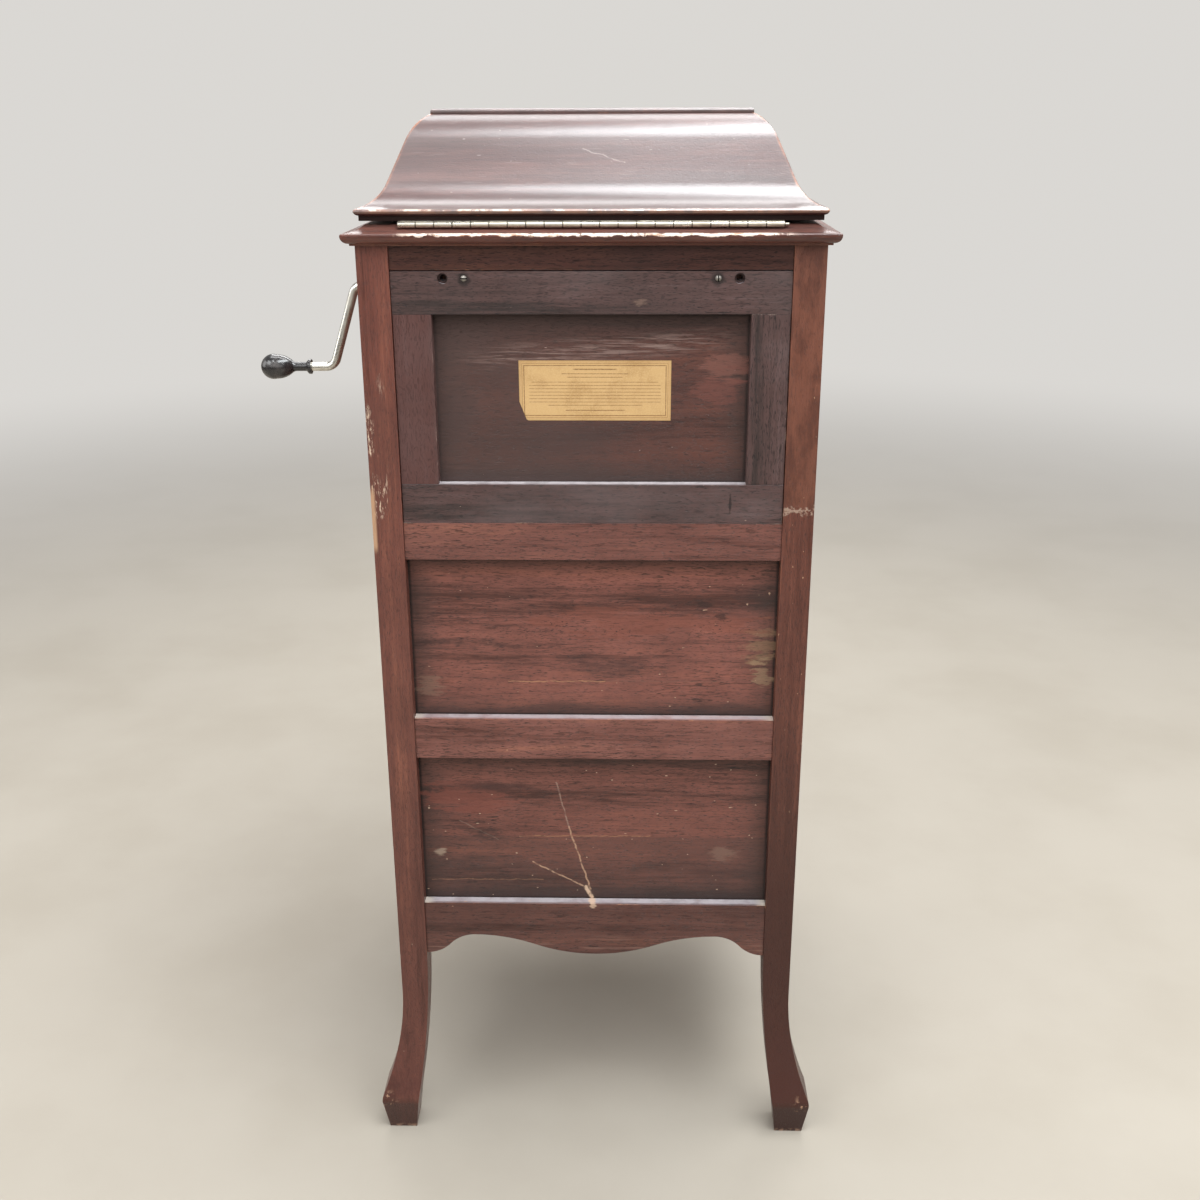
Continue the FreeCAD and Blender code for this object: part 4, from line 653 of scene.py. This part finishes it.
def plated(name, tones, roughness, clouding=0.4, joints=None, slots=None):
    """Plated or bright metal, clouded by tarnish.

    Joints are dark gaps: the first one's x, their pitch, and the y beyond which they show.
    Slots are those of a pair of screws: their distance from the middle and their level; they are painted
    black as painted shade.
    """
    metal = Finish(name, metallic=1)
    cloud = metal.cloud((0.4, 0.68), 55, detail=6, roughness=0.65)
    fine = metal.noise(1100, detail=3, roughness=0.6)
    tone = metal.mix(*tones, cloud * clouding)
    if joints:
        first, pitch, barrel = joints
        along = metal.sum("PINGPONG", metal.x - first, pitch / 2)
        gap = metal.ramp(along, 0.0003, 0.0008, 0.9, 0)
        on_barrel = metal.ramp(metal.y, barrel - 0.0003, barrel + 0.0003)
        tone = metal.mix(tone, JOINT_GRIME, on_barrel * gap)
    if slots:
        out, height = slots
        upright = abs(metal.x + out)
        level = abs(metal.z - height)
        away = metal.add("Mix", {0: metal.ramp(metal.x, -0.001, 0.001), 2: upright, 3: level})
        # Painted shade: a black line laid across each head where the slot is cut.
        tone = metal.mix(tone, SLOT_SHADOW, metal.ramp(away, 0.0005, 0.0007, 1, 0))
    metal.set("Base Color", tone)
    spread = cloud * 0.18 + fine * 0.1
    metal.set("Roughness", spread + roughness)
    metal.bump(fine, 0.00004, 0.6)
    return metal.material


BROWN_STEEL = [(0.34, 0.32, 0.29), (0.14, 0.11, 0.09)]
screw_steel = plated("screw_steel", BROWN_STEEL, 0.36, 0.6, slots=(screw_out, screw_level))
finished(["access_screws"], screw_steel, arris=0)


# Paper label
# A strip of buff paper glued to the recessed board, with a double rule round the edge and ruled lines.
# It has browned, and one lower corner is torn away.
LABEL_LOW = Vector((-0.0805, 0, 0.871))
LABEL_HIGH = Vector((0.074, 0, 0.9325))
LABEL_THICK = 0.00016
LABEL_TEARS = [((0.0735, 0, 0.889), (0.93, 0, -0.36)), ((0.069, 0, 0.8735), (0.55, 0, -0.83))]
LABEL_COCKLE = 0.00007
BUFF, BUFF_STAIN, FIBRE_PALE = (0.57, 0.36, 0.155), (0.44, 0.26, 0.098), (0.64, 0.445, 0.22)
FADED_INK = (0.2, 0.095, 0.03)
GRUBBY = (0.36, 0.2, 0.075)
# Ruled lines by height, half length and half weight: a heading, eight lines of text and a foot.
LINES = [(0.9235, 0.022, 0.0007), (0.919, 0.034, 0.0004), (0.9155, 0.028, 0.0004)]
for row, half in enumerate([0.064] + 6 * [0.067] + [0.048]):
    LINES.append((0.9105 - 0.0034 * row, half, 0.00032))
LINES.append((0.8815, 0.03, 0.0005))


def started(name, shape, **sizes):
    """Begins a piece that is not among the solids, from a simple shape."""
    ops.object.select_all(action="DESELECT")
    shape(**sizes)
    bpy.context.active_object.name = name
    return bpy.context.active_object


board_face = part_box("access_panel")[1].y
label_middle = (LABEL_LOW + LABEL_HIGH) / 2
grid = ops.mesh.primitive_grid_add
label = started("paper_label", grid, x_subdivisions=48, y_subdivisions=20, size=1)
ops.object.mode_set(mode="EDIT")
ops.mesh.select_all(action="SELECT")
ops.transform.resize(value=(LABEL_HIGH.x - LABEL_LOW.x, LABEL_HIGH.z - LABEL_LOW.z, 1))
ops.transform.rotate(value=math.radians(90), orient_axis="X", center_override=(0, 0, 0))
ops.transform.translate(value=(label_middle.x, board_face + LABEL_THICK, label_middle.z))
for point, normal in LABEL_TEARS:
    ops.mesh.select_all(action="SELECT")
    ops.mesh.bisect(plane_co=point, plane_no=normal, clear_outer=True)
ops.mesh.select_all(action="SELECT")
ops.mesh.normals_make_consistent(inside=False)
ops.object.mode_set(mode="OBJECT")
for point in label.data.vertices:
    lift = math.sin(90 * point.co.x) * math.sin(140 * point.co.z + 1)
    point.co.y += LABEL_COCKLE * (1 + lift)
if label.data.polygons[0].normal.y < 0:
    label.data.flip_normals()
ops.object.shade_smooth()
paper = Finish("label_paper", roughness=0.72)
fibre = paper.noise(900, detail=4)
stain = paper.cloud((0.42, 0.72), 32, detail=5, roughness=0.65)
buff = paper.mix(BUFF, BUFF_STAIN, stain)
buff = paper.mix(buff, FIBRE_PALE, paper.ramp(fibre, 0.4, 0.7) * 0.5)
inset = paper.x - LABEL_LOW.x
for edge in (LABEL_HIGH.x - paper.x, paper.z - LABEL_LOW.z, LABEL_HIGH.z - paper.z):
    inset = paper.sum("MINIMUM", inset, edge)
thin_rule = paper.band(inset, 0.003, 0.0034, 0.0002)
ink = paper.any_of(thin_rule, paper.band(inset, 0.0047, 0.0056, 0.0002))
for height, half, weight in LINES:
    row = paper.band(paper.z, height - weight, height + weight, 0.00015)
    across = paper.band(paper.x, label_middle.x - half, label_middle.x + half, 0.001)
    gaps = paper.cloud((0.4, 0.44), 300, (1, 0, 40), detail=2)
    ink = paper.any_of(ink, gaps * row * across)
worn_ink = paper.cloud((0.3, 0.55, 0.45, 0.9), 420, detail=3)
buff = paper.mix(buff, FADED_INK, ink * worn_ink)
grubby = paper.ramp(inset, 0, 0.006, 0.35, 0)
paper.set("Base Color", paper.mix(buff, GRUBBY, grubby))
paper.bump(fibre, 0.00008, 0.7)
label.data.materials.append(paper.material)
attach(label, "case")


# Doors and their knobs
# Four flush mahogany doors on pivot pins: the upper pair lets out the sound, the lower keeps the records.
# Each has a turned knob of gilt brass.
DOOR_TONES = [(0.075, 0.022, 0.013), (0.18, 0.055, 0.033), (0.285, 0.105, 0.062)]
door_wood = Wood("door_mahogany", "Z", *DOOR_TONES, 0.28, 0.4, 0.3, mottle=0.3)
door_wood.bare_edges(BARE_TAN, 0.04)
DOORS = ["horn_door_left", "horn_door_right", "record_door_left", "record_door_right"]
finished(DOORS, door_wood.done(), arris=0.0009)
GILT = [(0.72, 0.52, 0.24), (0.34, 0.22, 0.1)]
gilt = plated("gilt_brass", GILT, 0.22, 0.6)
KNOBS = ["horn_knob_left", "horn_knob_right", "record_knob_left", "record_knob_right"]
finished(KNOBS, gilt, arris=0.0003)
finished(["door_pivots"], gilt, arris=0)


# Case-top moulding
# A mitred frame with a thin nose, glued on the posts and rails.
# Its nose at the back is rubbed and chipped to the bare wood along most of its length, and its palest
# flecks also stand for a painted highlight along the rounded nose.
MOULD_TONES = [(0.05, 0.016, 0.012), (0.13, 0.043, 0.03), (0.215, 0.082, 0.055)]
MOULD_DUST = (0.24, 0.2, 0.19)
MITRED_ARRIS = 0.0004
SAME_PLANE = 0.00005
moulding_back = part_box("top_moulding_front_back")[1].y
moulding_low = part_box("top_moulding_front_back")[0].z
moulding_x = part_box("top_moulding_sides")[1].x


def moulded(name, along):
    """Wood of the moulding, a little dusty and rubbed at its edges."""
    wood = Wood(name, along, *MOULD_TONES, 0.34, 0.3, 0.4, mottle=0.4)
    wood.dust(MOULD_DUST, 0.12)
    wood.bare_edges(BARE_TAN, 0.1)
    return wood


def on_mitre(half_x, half_y):
    """Tells the edges of a mitred joint, which stay sharp, from the arrises."""
    def both_on(*ends):
        return all(abs((half_x - abs(end.x)) - (half_y - abs(end.y))) < SAME_PLANE for end in ends)
    return both_on


CHIP_ORANGE = (0.46, 0.25, 0.15)
PALE_CHIP_AND_HIGHLIGHT = (0.88, 0.77, 0.68)
moulding_mitre = on_mitre(moulding_x, moulding_back)
nose = moulded("moulding_back_wood", "X")
uneven = nose.cloud((0.3, 0.7, -0.0015, 0.0011), 95, (1, 0.3, 0.3), detail=5)
height = nose.z + uneven
chipped = (
    nose.band(height, moulding_low + 0.0096, moulding_low + 0.0124, 0.0005)
    * nose.ramp(nose.y, moulding_back - 0.006, moulding_back - 0.0035)
    * nose.cloud((0.37, 0.46), 34, (1, 0.2, 0.2), detail=8, roughness=0.78)
    * nose.band(nose.x, -0.185, 0.178, 0.02)
)
nose.lay(CHIP_ORANGE, chipped * 0.9, 0.5)
# Pale chips that are also a painted highlight along the rounded nose.
flake = nose.cloud((0.4, 0.52), 110, (0.5, 1, 1), detail=6, roughness=0.75)
nose.lay(PALE_CHIP_AND_HIGHLIGHT, chipped * flake * 0.95, 0.32)
finished(["top_moulding_front_back"], nose.done(), arris=MITRED_ARRIS, stays_sharp=moulding_mitre)
nose = moulded("moulding_side_wood", "Y")
finished(["top_moulding_sides"], nose.done(), arris=MITRED_ARRIS, stays_sharp=moulding_mitre)


# Lid
# Four coved boards mitred at the hips under a raised panel, veneered and French polished.
# The polish is bright and finely scratched, and the hips, corners and lower nose are worn orange.
LID_TONES = [(0.04, 0.013, 0.01), (0.074, 0.03, 0.027), (0.132, 0.052, 0.043)]
LID_GRAIN = 0.00006
ORANGE_WEAR = (0.34, 0.125, 0.055)
NOSE_WEAR_AND_HIGHLIGHT = (0.7, 0.56, 0.46)
RABBET_SHADE = (0.016, 0.009, 0.008)
FINE_SCRATCH = (0.34, 0.24, 0.23)
lid_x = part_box("lid_right_board")[1].x
lid_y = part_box("lid_back_board")[1].y
lid_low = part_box("lid_back_board")[0].z


def polished(name, along, hipped=True, scratched=0.13):
    """Lid wood: hips worn, the nose worn and given a painted highlight along its top edge, the polish
    finely scratched and crazed, none of it in the rabbet, whose outward faces are darkened as painted
    shade.
    """
    wood = Wood(name, along, *LID_TONES, 0.3, coat=1, pores=0.3, mottle=0.2)
    wood.set("Coat Roughness", 0.31)
    wood.set("Coat IOR", 1.8)
    across = lid_x - abs(wood.x)
    deep = lid_y - abs(wood.y)
    hip = wood.ramp(abs(across - deep), 0.0008, 0.0034, 1, 0)
    rub = wood.cloud((0.34, 0.6), 38, detail=6, roughness=0.7)
    upward = wood.upward()
    wood.outside = wood.ramp(upward, -0.05, 0.05)
    if hipped:
        wood.lay(ORANGE_WEAR, hip * wood.outside * rub * 0.9, 0.5)
    edge = wood.ramp(wood.sum("MINIMUM", across, deep), 0.0012, 0.0026, 1, 0)
    nosing = wood.band(wood.z, lid_low + 0.0072, lid_low + 0.0112, 0.0008) * edge
    wood.lay(ORANGE_WEAR, nosing * rub * 0.55, 0.5)
    # Worn flecks and a painted highlight: a pale broken line along the top edge of the nose.
    flecked = wood.cloud((0.52, 0.6), 55, detail=7, roughness=0.75)
    top_edge = nosing * wood.ramp(wood.z, lid_low + 0.0088, lid_low + 0.01)
    wood.lay(NOSE_WEAR_AND_HIGHLIGHT, top_edge * flecked * 0.8, 0.4)
    rabbet = wood.ramp(wood.z, lid_low + 0.0064, lid_low + 0.0074)
    # Painted shade: below the rabbet's upper edge, the faces that do not face down are laid near-black.
    below = wood.ramp(upward, -0.6, -0.3)
    wood.lay(RABBET_SHADE, below * wood.ramp(rabbet, 0, 1, 0.9, 0), 0.6)
    thin = wood.band(wood.z, lid_low + 0.046, lid_low + 0.072, 0.01) * 0.3
    wood.set("Coat Weight", rabbet - thin)
    wood.set("Specular IOR Level", wood.ramp(rabbet, 0, 1, 0.1, 0.5))
    scratches = wood.cloud((0.655, 0.7), 500, (0.06, 0.5, 1), detail=2)
    wood.lay(FINE_SCRATCH, scratches * wood.outside * scratched, 0.45)
    wood.bare_edges(ORANGE_WEAR, 0.06)
    wood.bump(wood.noise(750, (0.7, 1, 1), detail=3), 0.00015, onto="Coat Normal")
    return wood


LID_SCRATCH = (0.4, 0.31, 0.29)
LID_SPECK = (0.56, 0.46, 0.42)
lid_mitre = on_mitre(lid_x, lid_y)
cove = polished("lid_back_wood", "X")
rear = cove.outside * cove.ramp(cove.y, 0, 0.01)
cove.scratch((0.008, 1.1344), (-0.033, 1.122), 0.0008, LID_SCRATCH, rear * 0.4)
cove.specks(LID_SPECK, rear * 0.22, rare=0.86)
boards = ["lid_back_board", "lid_front_board"]
finished(boards, cove.done(LID_GRAIN), arris=MITRED_ARRIS, stays_sharp=lid_mitre)
cove = polished("lid_side_wood", "Y")
boards = ["lid_left_board", "lid_right_board"]
finished(boards, cove.done(LID_GRAIN), arris=MITRED_ARRIS, stays_sharp=lid_mitre)
top = polished("lid_top_wood", "Y", hipped=False, scratched=0.07)
finished(["lid_top_panel"], top.done(LID_GRAIN), arris=0.0005)


# Lid hinge and stay
# A long hinge of dull nickel-plated brass, its pin standing out at one end, and a slotted steel stay
# that turns on a stud in the lid and slides on a screw in the case.
HINGE_KNUCKLES = 21
hinge_low, hinge_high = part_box("lid_hinge_lid_leaf")
hinge_half = max(hinge_high.x, -hinge_low.x)
KNUCKLE_WIDTH = 0.006
hinge_joints = (-hinge_half, 2 * hinge_half / HINGE_KNUCKLES, hinge_high.y - KNUCKLE_WIDTH)
HINGE = [(0.62, 0.585, 0.5), (0.36, 0.31, 0.23)]
hinge_nickel = plated("hinge_nickel", HINGE, 0.22, 0.65, joints=hinge_joints)
finished(["lid_hinge_case_leaf", "lid_hinge_lid_leaf"], hinge_nickel, arris=0.00025)
NICKEL = [(0.72, 0.7, 0.64), (0.47, 0.43, 0.36)]
nickel = plated("dull_nickel", NICKEL, 0.22, 0.5)
finished(["lid_stay", "lid_stay_screw"], nickel, arris=0.0002)

SLOT_SHARE = 0.36
SLOT_TURN = 0.9


def screw_heads(name, places, facing, radius, rise, material, beside):
    """Small slotted screws of one fitting: domed heads with the slot sawn across, joined as one piece."""
    sawn = (3 * radius, SLOT_SHARE * radius, rise)
    blade = started("blade", ops.mesh.primitive_cube_add, size=1, location=(0, 0, rise), scale=sawn)
    ball = ops.mesh.primitive_uv_sphere_add
    head = started(name, ball, segments=28, ring_count=14, radius=radius)
    ops.object.mode_set(mode="EDIT")
    ops.mesh.select_all(action="SELECT")
    ops.mesh.bisect(plane_co=(0, 0, 0), plane_no=(0, 0, 1), clear_inner=True, use_fill=True)
    ops.mesh.select_all(action="SELECT")
    ops.transform.resize(value=(1, 1, rise / radius))
    ops.mesh.normals_make_consistent(inside=False)
    ops.object.mode_set(mode="OBJECT")
    slot = head.modifiers.new("slot", "BOOLEAN")
    slot.operation = "DIFFERENCE"
    slot.object = blade
    ops.object.modifier_apply(modifier=slot.name)
    bpy.data.objects.remove(blade)
    ops.object.shade_smooth_by_angle(angle=math.radians(35))
    facing = Vector(facing).to_track_quat("Z", "Y").to_matrix().to_4x4()
    heads = []
    for number, place in enumerate(places):
        if heads:
            ops.object.duplicate()
            head = bpy.context.active_object
        head.matrix_world = Matrix.Translation(place) @ facing @ Matrix.Rotation(SLOT_TURN * number, 4, "Z")
        heads.append(head)
    for head in heads:
        head.select_set(True)
    bpy.context.view_layer.objects.active = heads[0]
    if len(heads) > 1:
        ops.object.join()
    ops.object.transform_apply(location=True, rotation=True, scale=True)
    heads[0].data.materials.clear()
    heads[0].data.materials.append(material)
    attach(heads[0], frame["nodes"][beside]["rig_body"])


HINGE_SCREW_X = [-0.17, -0.102, -0.034, 0.034, 0.102, 0.17]
HINGE_SCREW_Y = 0.2475
LEAF_THICK = 0.0012
case_leaf_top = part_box("top_moulding_sides")[1].z + LEAF_THICK
for leaf, height, up in (("case", case_leaf_top, 1), ("lid", hinge_high.z - LEAF_THICK, -1)):
    places = [(x, HINGE_SCREW_Y, height) for x in HINGE_SCREW_X]
    fixed_on = f"lid_hinge_{leaf}_leaf"
    screw_heads(f"hinge_screws_{leaf}", places, (0, 0, up), 0.003, 0.0004, hinge_nickel, fixed_on)


# Felt buttons
# Two discs of black felt glued on the front corners of the case top.
# They carry the closed lid a few millimetres clear.
BUTTON_PLACES = [(-0.2185, -0.2485), (0.2185, -0.2485)]
BUTTON_RADIUS = 0.005
BUTTON_THICK = 0.0034
BUTTON_EDGE = 0.0006
BLACK_FELT = [(0.01, 0.01, 0.011), (0.045, 0.043, 0.042)]
button_felt = Finish("button_felt", roughness=0.95)
lint = button_felt.noise(1700, detail=4)
button_felt.set("Base Color", button_felt.mix(*BLACK_FELT, lint))
button_felt.bump(lint, 0.0003, 0.7)
disc = ops.mesh.primitive_cylinder_add
for number, (x, y) in enumerate(BUTTON_PLACES):
    place = (x, y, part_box("top_moulding_sides")[1].z + BUTTON_THICK / 2)
    sizes = {"vertices": 32, "radius": BUTTON_RADIUS, "depth": BUTTON_THICK, "location": place}
    button = started(f"lid_button_{number + 1}", disc, **sizes)
    ops.object.transform_apply(location=True, rotation=True, scale=True)
    eased = button.modifiers.new("soft_edge", "BEVEL")
    eased.width = BUTTON_EDGE
    eased.segments = 3
    ops.object.modifier_apply(modifier=eased.name)
    ops.object.shade_smooth_by_angle(angle=SMOOTH_BELOW)
    button.data.materials.append(button_felt.material)
    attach(button, "case")


# Crank and grip
# One steel rod bent twice and nickel plated, running in a plated escutcheon on the side of the case.
# The pear grip is turned wood, ebonised and polished, free to spin on the thin end of the rod.
finished(["crank", "crank_escutcheon"], nickel, arris=0.0003)
plate_low, plate_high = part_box("crank_escutcheon")
plate_middle = (plate_low + plate_high) / 2
PLATE_SCREW_OUT = 0.0113
plate_places = [
    (plate_high.x, plate_middle.y + out, plate_middle.z) for out in (-PLATE_SCREW_OUT, PLATE_SCREW_OUT)
]
screw_heads("escutcheon_screws", plate_places, (1, 0, 0), 0.0021, 0.0008, screw_steel, "crank_escutcheon")
EBONY = [(0.016, 0.015, 0.016), (0.055, 0.047, 0.045)]
ebonised = Finish("grip_ebonised")
turning = ebonised.noise(420, (1, 0.05, 0.05), detail=3)
handled = ebonised.cloud((0.4, 0.7), 70, detail=5)
ebonised.set("Base Color", ebonised.mix(*EBONY, handled))
ebonised.set("Roughness", ebonised.ramp(handled, 0, 1, 0.24, 0.4))
ebonised.set("Coat Weight", 0.5)
ebonised.set("Coat Roughness", 0.12)
ebonised.bump(turning, 0.00008, 0.5)
finished(["crank_grip"], ebonised.material, arris=0.0004)


# Spring motor
# Japanned iron frame hung under the motor board, a spring drum, and cut steel gears that wind it.
JAPAN = [(0.02, 0.02, 0.022), (0.055, 0.05, 0.046)]
japan = Finish("japanned_iron")
lumps = japan.noise(260, detail=5, roughness=0.6)
japan.set("Base Color", japan.mix(*JAPAN, japan.ramp(lumps, 0.45, 0.7)))
japan.set("Roughness", japan.ramp(lumps, 0.3, 0.7, 0.3, 0.5))
japan.set("Coat Weight", 0.4)
japan.bump(lumps, 0.0003, 0.6)
finished(["motor_frame"], japan.material, arris=0.001)
finished(["spring_barrel"], japan.material, arris=0.0012)
CUT_STEEL = [(0.46, 0.46, 0.47), (0.24, 0.2, 0.16)]
cut_steel = plated("cut_steel", CUT_STEEL, 0.26, 0.55)
finished(["winding_shaft", "winding_gear"], cut_steel, arris=0)
board_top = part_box("motor_board")[1].z
BOARD_SCREWS = [(-0.181, -0.209), (0.181, -0.209), (0.181, 0.209), (-0.181, 0.209)]
board_places = [(x, y, board_top) for x, y in BOARD_SCREWS]
screw_heads("motor_board_screws", board_places, (0, 0, 1), 0.0042, 0.0016, nickel, "motor_board")


# Turntable
# A pressed and plated platter on the motor's spindle, its top covered with green felt.
finished(["turntable", "turntable_spindle"], nickel, arris=0.0003)
platter_low, platter_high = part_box("turntable")
spindle_x = (platter_low.x + platter_high.x) / 2
spindle_y = (platter_low.y + platter_high.y) / 2
FELT_RADIUS = 0.1475
FELT_HOLE = 0.0055
FELT_THICK = 0.0012
FELT_EDGE = 0.0004
FELT_GREEN, FELT_FADED, FELT_FUZZ = (0.03, 0.072, 0.034), (0.09, 0.12, 0.06), (0.14, 0.17, 0.1)
ring = ops.mesh.primitive_circle_add
felt = started("turntable_felt", ring, vertices=160, radius=FELT_RADIUS, fill_type="NGON")
ops.object.mode_set(mode="EDIT")
ops.mesh.select_all(action="SELECT")
ops.mesh.inset(thickness=FELT_RADIUS - FELT_HOLE, depth=0)
ops.mesh.delete(type="FACE")
ops.mesh.select_all(action="SELECT")
ops.mesh.extrude_region_move(TRANSFORM_OT_translate={"value": (0, 0, FELT_THICK)})
ops.mesh.select_all(action="SELECT")
ops.transform.translate(value=(spindle_x, spindle_y, platter_high.z))
ops.mesh.normals_make_consistent(inside=False)
ops.object.mode_set(mode="OBJECT")
eased = felt.modifiers.new("worn_edge", "BEVEL")
eased.width = FELT_EDGE
eased.segments = 2
eased.limit_method = "ANGLE"
ops.object.modifier_apply(modifier=eased.name)
ops.object.shade_smooth_by_angle(angle=SMOOTH_BELOW)
nap = Finish("green_felt", roughness=0.95)
fuzz = nap.noise(1500, detail=4, roughness=0.7)
faded = nap.cloud((0.4, 0.72), 24, detail=5)
green = nap.mix(FELT_GREEN, FELT_FADED, faded)
nap.set("Base Color", nap.mix(green, FELT_FUZZ, nap.ramp(fuzz, 0.5, 0.75) * 0.6))
nap.set("Sheen Weight", 0.35)
nap.bump(fuzz, 0.0005, 0.8)
felt.data.materials.append(nap.material)
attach(felt, "turntable")


# Horn, elbow and louvres
# A cast-iron elbow takes the sound down from the tone arm into a horn of four thin boards,
# which opens behind the upper doors; three louvres cross its mouth.
finished(["horn_elbow"], japan.material, arris=0.0006)
FLANGE_MIDDLE = (0.07, 0.165)
FLANGE_SCREW_OUT = 0.0275
FLANGE_THICK = 0.005
flange_places = []
for turn in (0.4, 2.5, 4.6):
    x = FLANGE_MIDDLE[0] + FLANGE_SCREW_OUT * math.cos(turn)
    y = FLANGE_MIDDLE[1] + FLANGE_SCREW_OUT * math.sin(turn)
    flange_places.append((x, y, board_top + FLANGE_THICK))
screw_heads("flange_screws", flange_places, (0, 0, 1), 0.0032, 0.0013, nickel, "horn_elbow")
finished(["horn", "horn_louvres"], shelf.material, arris=BOARD_ARRIS)


# Tone arm, goose-neck and sound box
# Plated brass tubes that carry the sound; the drum at the end holds a mica disc behind a rim,
# and the needle bar that shakes it.
finished(["tone_arm", "goose_neck", "sound_box"], nickel, arris=0.0003)
MICA_RADIUS = 0.0227
MICA_THICK = 0.0003
MICA_MIDDLE = Vector((0.15635, -0.02865, 1.096))
MICA_FACING = math.radians(24.8)
mica = started("mica_disc", disc, vertices=96, radius=MICA_RADIUS, depth=MICA_THICK)
mica.matrix_world = (
    Matrix.Translation(MICA_MIDDLE)
    @ Matrix.Rotation(MICA_FACING, 4, "Z")
    @ Matrix.Rotation(math.radians(90), 4, "Y")
)
ops.object.transform_apply(location=True, rotation=True, scale=True)
ops.object.shade_smooth_by_angle(angle=SMOOTH_BELOW)
MICA = [(0.5, 0.44, 0.33), (0.66, 0.62, 0.52)]
flake = Finish("mica_flake")
veil = flake.cloud((0.38, 0.66), 90, detail=6, roughness=0.65)
flake.set("Base Color", flake.mix(*MICA, veil))
flake.set("Roughness", flake.ramp(veil, 0, 1, 0.14, 0.3))
flake.set("Coat Weight", 0.6)
flake.set("Coat Roughness", 0.06)
mica.data.materials.append(flake.material)
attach(mica, "sound_box")


# Brake lever and speed knob
# Plated steel parts screwed to the motor board beside the platter.
finished(["brake_lever", "speed_knob"], nickel, arris=0.0005)


# Floor, light and camera
# A plain pale floor, broad soft lamps overhead and around, and the camera where the photo was taken.
floor = started("studio_floor", grid, x_subdivisions=4, y_subdivisions=4, size=40, location=(0, 0, 0))
BACKDROP = (0.74, 0.72, 0.69)
SEEN_LEVEL, MIRRORED_LEVEL, AMBIENT_LEVEL = 0.95, 0.45, 0.3
FLOOR = [(0.37, 0.335, 0.285), (0.34, 0.305, 0.255)]
ground = Finish("pale_floor", roughness=0.85)
soil = ground.cloud((0.35, 0.75), 3, detail=5)
ground.set("Base Color", ground.mix(*FLOOR, soil))
afar = ground.vector("LENGTH", ground.at, out=1)
seen = ground.add("LightPath", out="Is Camera Ray")
fade = ground.ramp(afar, 1.2, 5) * seen
haze = ground.add("Emission", {"Color": (*BACKDROP, 1), "Strength": SEEN_LEVEL})
lit = Value(ground, ground.shader.outputs[0])
shown = ground.add("MixShader", {0: fade, 1: lit, 2: haze})
ground.feed(ground.tree.nodes["Material Output"].inputs[0], shown)
floor.data.materials.append(ground.material)

WHITE, COOL, COOLER, SKY = (1, 1, 1), (0.97, 0.99, 1), (0.94, 0.98, 1), (0.86, 0.93, 1)
# Each lamp: its name, where it hangs, where it aims, its width and depth, its watts and its colour.
LAMPS = [
    ("ceiling_row_back", (-0.6, 0.75, 3.3), (0, 0.3, 0.8), (2.6, 0.9), 94, COOLER),
    ("ceiling_row_middle", (0, -0.6, 3.3), (0, -0.3, 0), (2.6, 0.6), 36, WHITE),
    ("ceiling_row_front", (-0.1, -2, 2.6), (0, -0.2, 0.7), (2.6, 0.8), 50, WHITE),
    ("fill_back", (0.3, 3.3, 1.9), (0, 0, 0.5), (3.2, 1.4), 19, WHITE),
    ("key_left", (2, 2, 3), (0, 0.25, 0.6), (2.2, 1.7), 65, COOL),
    ("key_right", (-2, 2, 3), (0, 0.25, 0.6), (2.2, 1.7), 56, COOL),
    ("window_back", (-0.75, 2.5, 3.15), (0, 0.2, 1.1), (2.4, 1.3), 3, SKY),
    ("fill_right", (2.8, 0.2, 1.6), (0, 0, 0.7), (1.6, 1.6), 20, WHITE),
    ("fill_left", (-2.8, 0.2, 1.6), (0, 0, 0.7), (1.6, 1.6), 20, WHITE),
]
for name, place, aim, size, power, colour in LAMPS:
    light = bpy.data.lights.new(name, "AREA")
    light.color = colour
    light.shape = "RECTANGLE"
    light.size, light.size_y = size
    light.energy = power
    holder = bpy.data.objects.new(name, light)
    bpy.context.scene.collection.objects.link(holder)
    holder.location = place
    holder.rotation_euler = (Vector(aim) - Vector(place)).to_track_quat("-Z", "Y").to_euler()

surround = bpy.data.worlds.new("surround")
surround.use_nodes = True
bpy.context.scene.world = surround
sky = surround.node_tree
sky.nodes["Background"].inputs["Color"].default_value = (*BACKDROP, 1)
rays = sky.nodes.new("ShaderNodeLightPath")
strength = None
for ray, level in (
    ("Is Glossy Ray", MIRRORED_LEVEL), ("Is Transmission Ray", SEEN_LEVEL), ("Is Camera Ray", SEEN_LEVEL),
):
    choice = sky.nodes.new("ShaderNodeMix")
    sky.links.new(rays.outputs[ray], choice.inputs[0])
    choice.inputs[3].default_value = level
    choice.inputs[2].default_value = AMBIENT_LEVEL
    if strength:
        sky.links.new(strength, choice.inputs[2])
    strength = choice.outputs[0]
sky.links.new(strength, sky.nodes["Background"].inputs["Strength"])

EYE = Vector((-0.0408, 1.6077, 1.175))
PITCH = 20.15
HEADING = 181.4
ROLL = -0.23
FOCAL_PIXELS = 1350
FRAME_PIXELS = 1200
lens = bpy.data.cameras.new("photo_camera")
lens.sensor_fit = "AUTO"
lens.sensor_width = 36
lens.lens = lens.sensor_width * FOCAL_PIXELS / FRAME_PIXELS
camera = bpy.data.objects.new("photo_camera", lens)
bpy.context.scene.collection.objects.link(camera)
camera.matrix_world = (
    Matrix.Translation(EYE)
    @ Matrix.Rotation(math.radians(HEADING), 4, "Z")
    @ Matrix.Rotation(math.radians(90 - PITCH), 4, "X")
    @ Matrix.Rotation(math.radians(ROLL), 4, "Z")
)
bpy.context.scene.camera = camera
bpy.context.scene.view_settings.view_transform = "Standard"
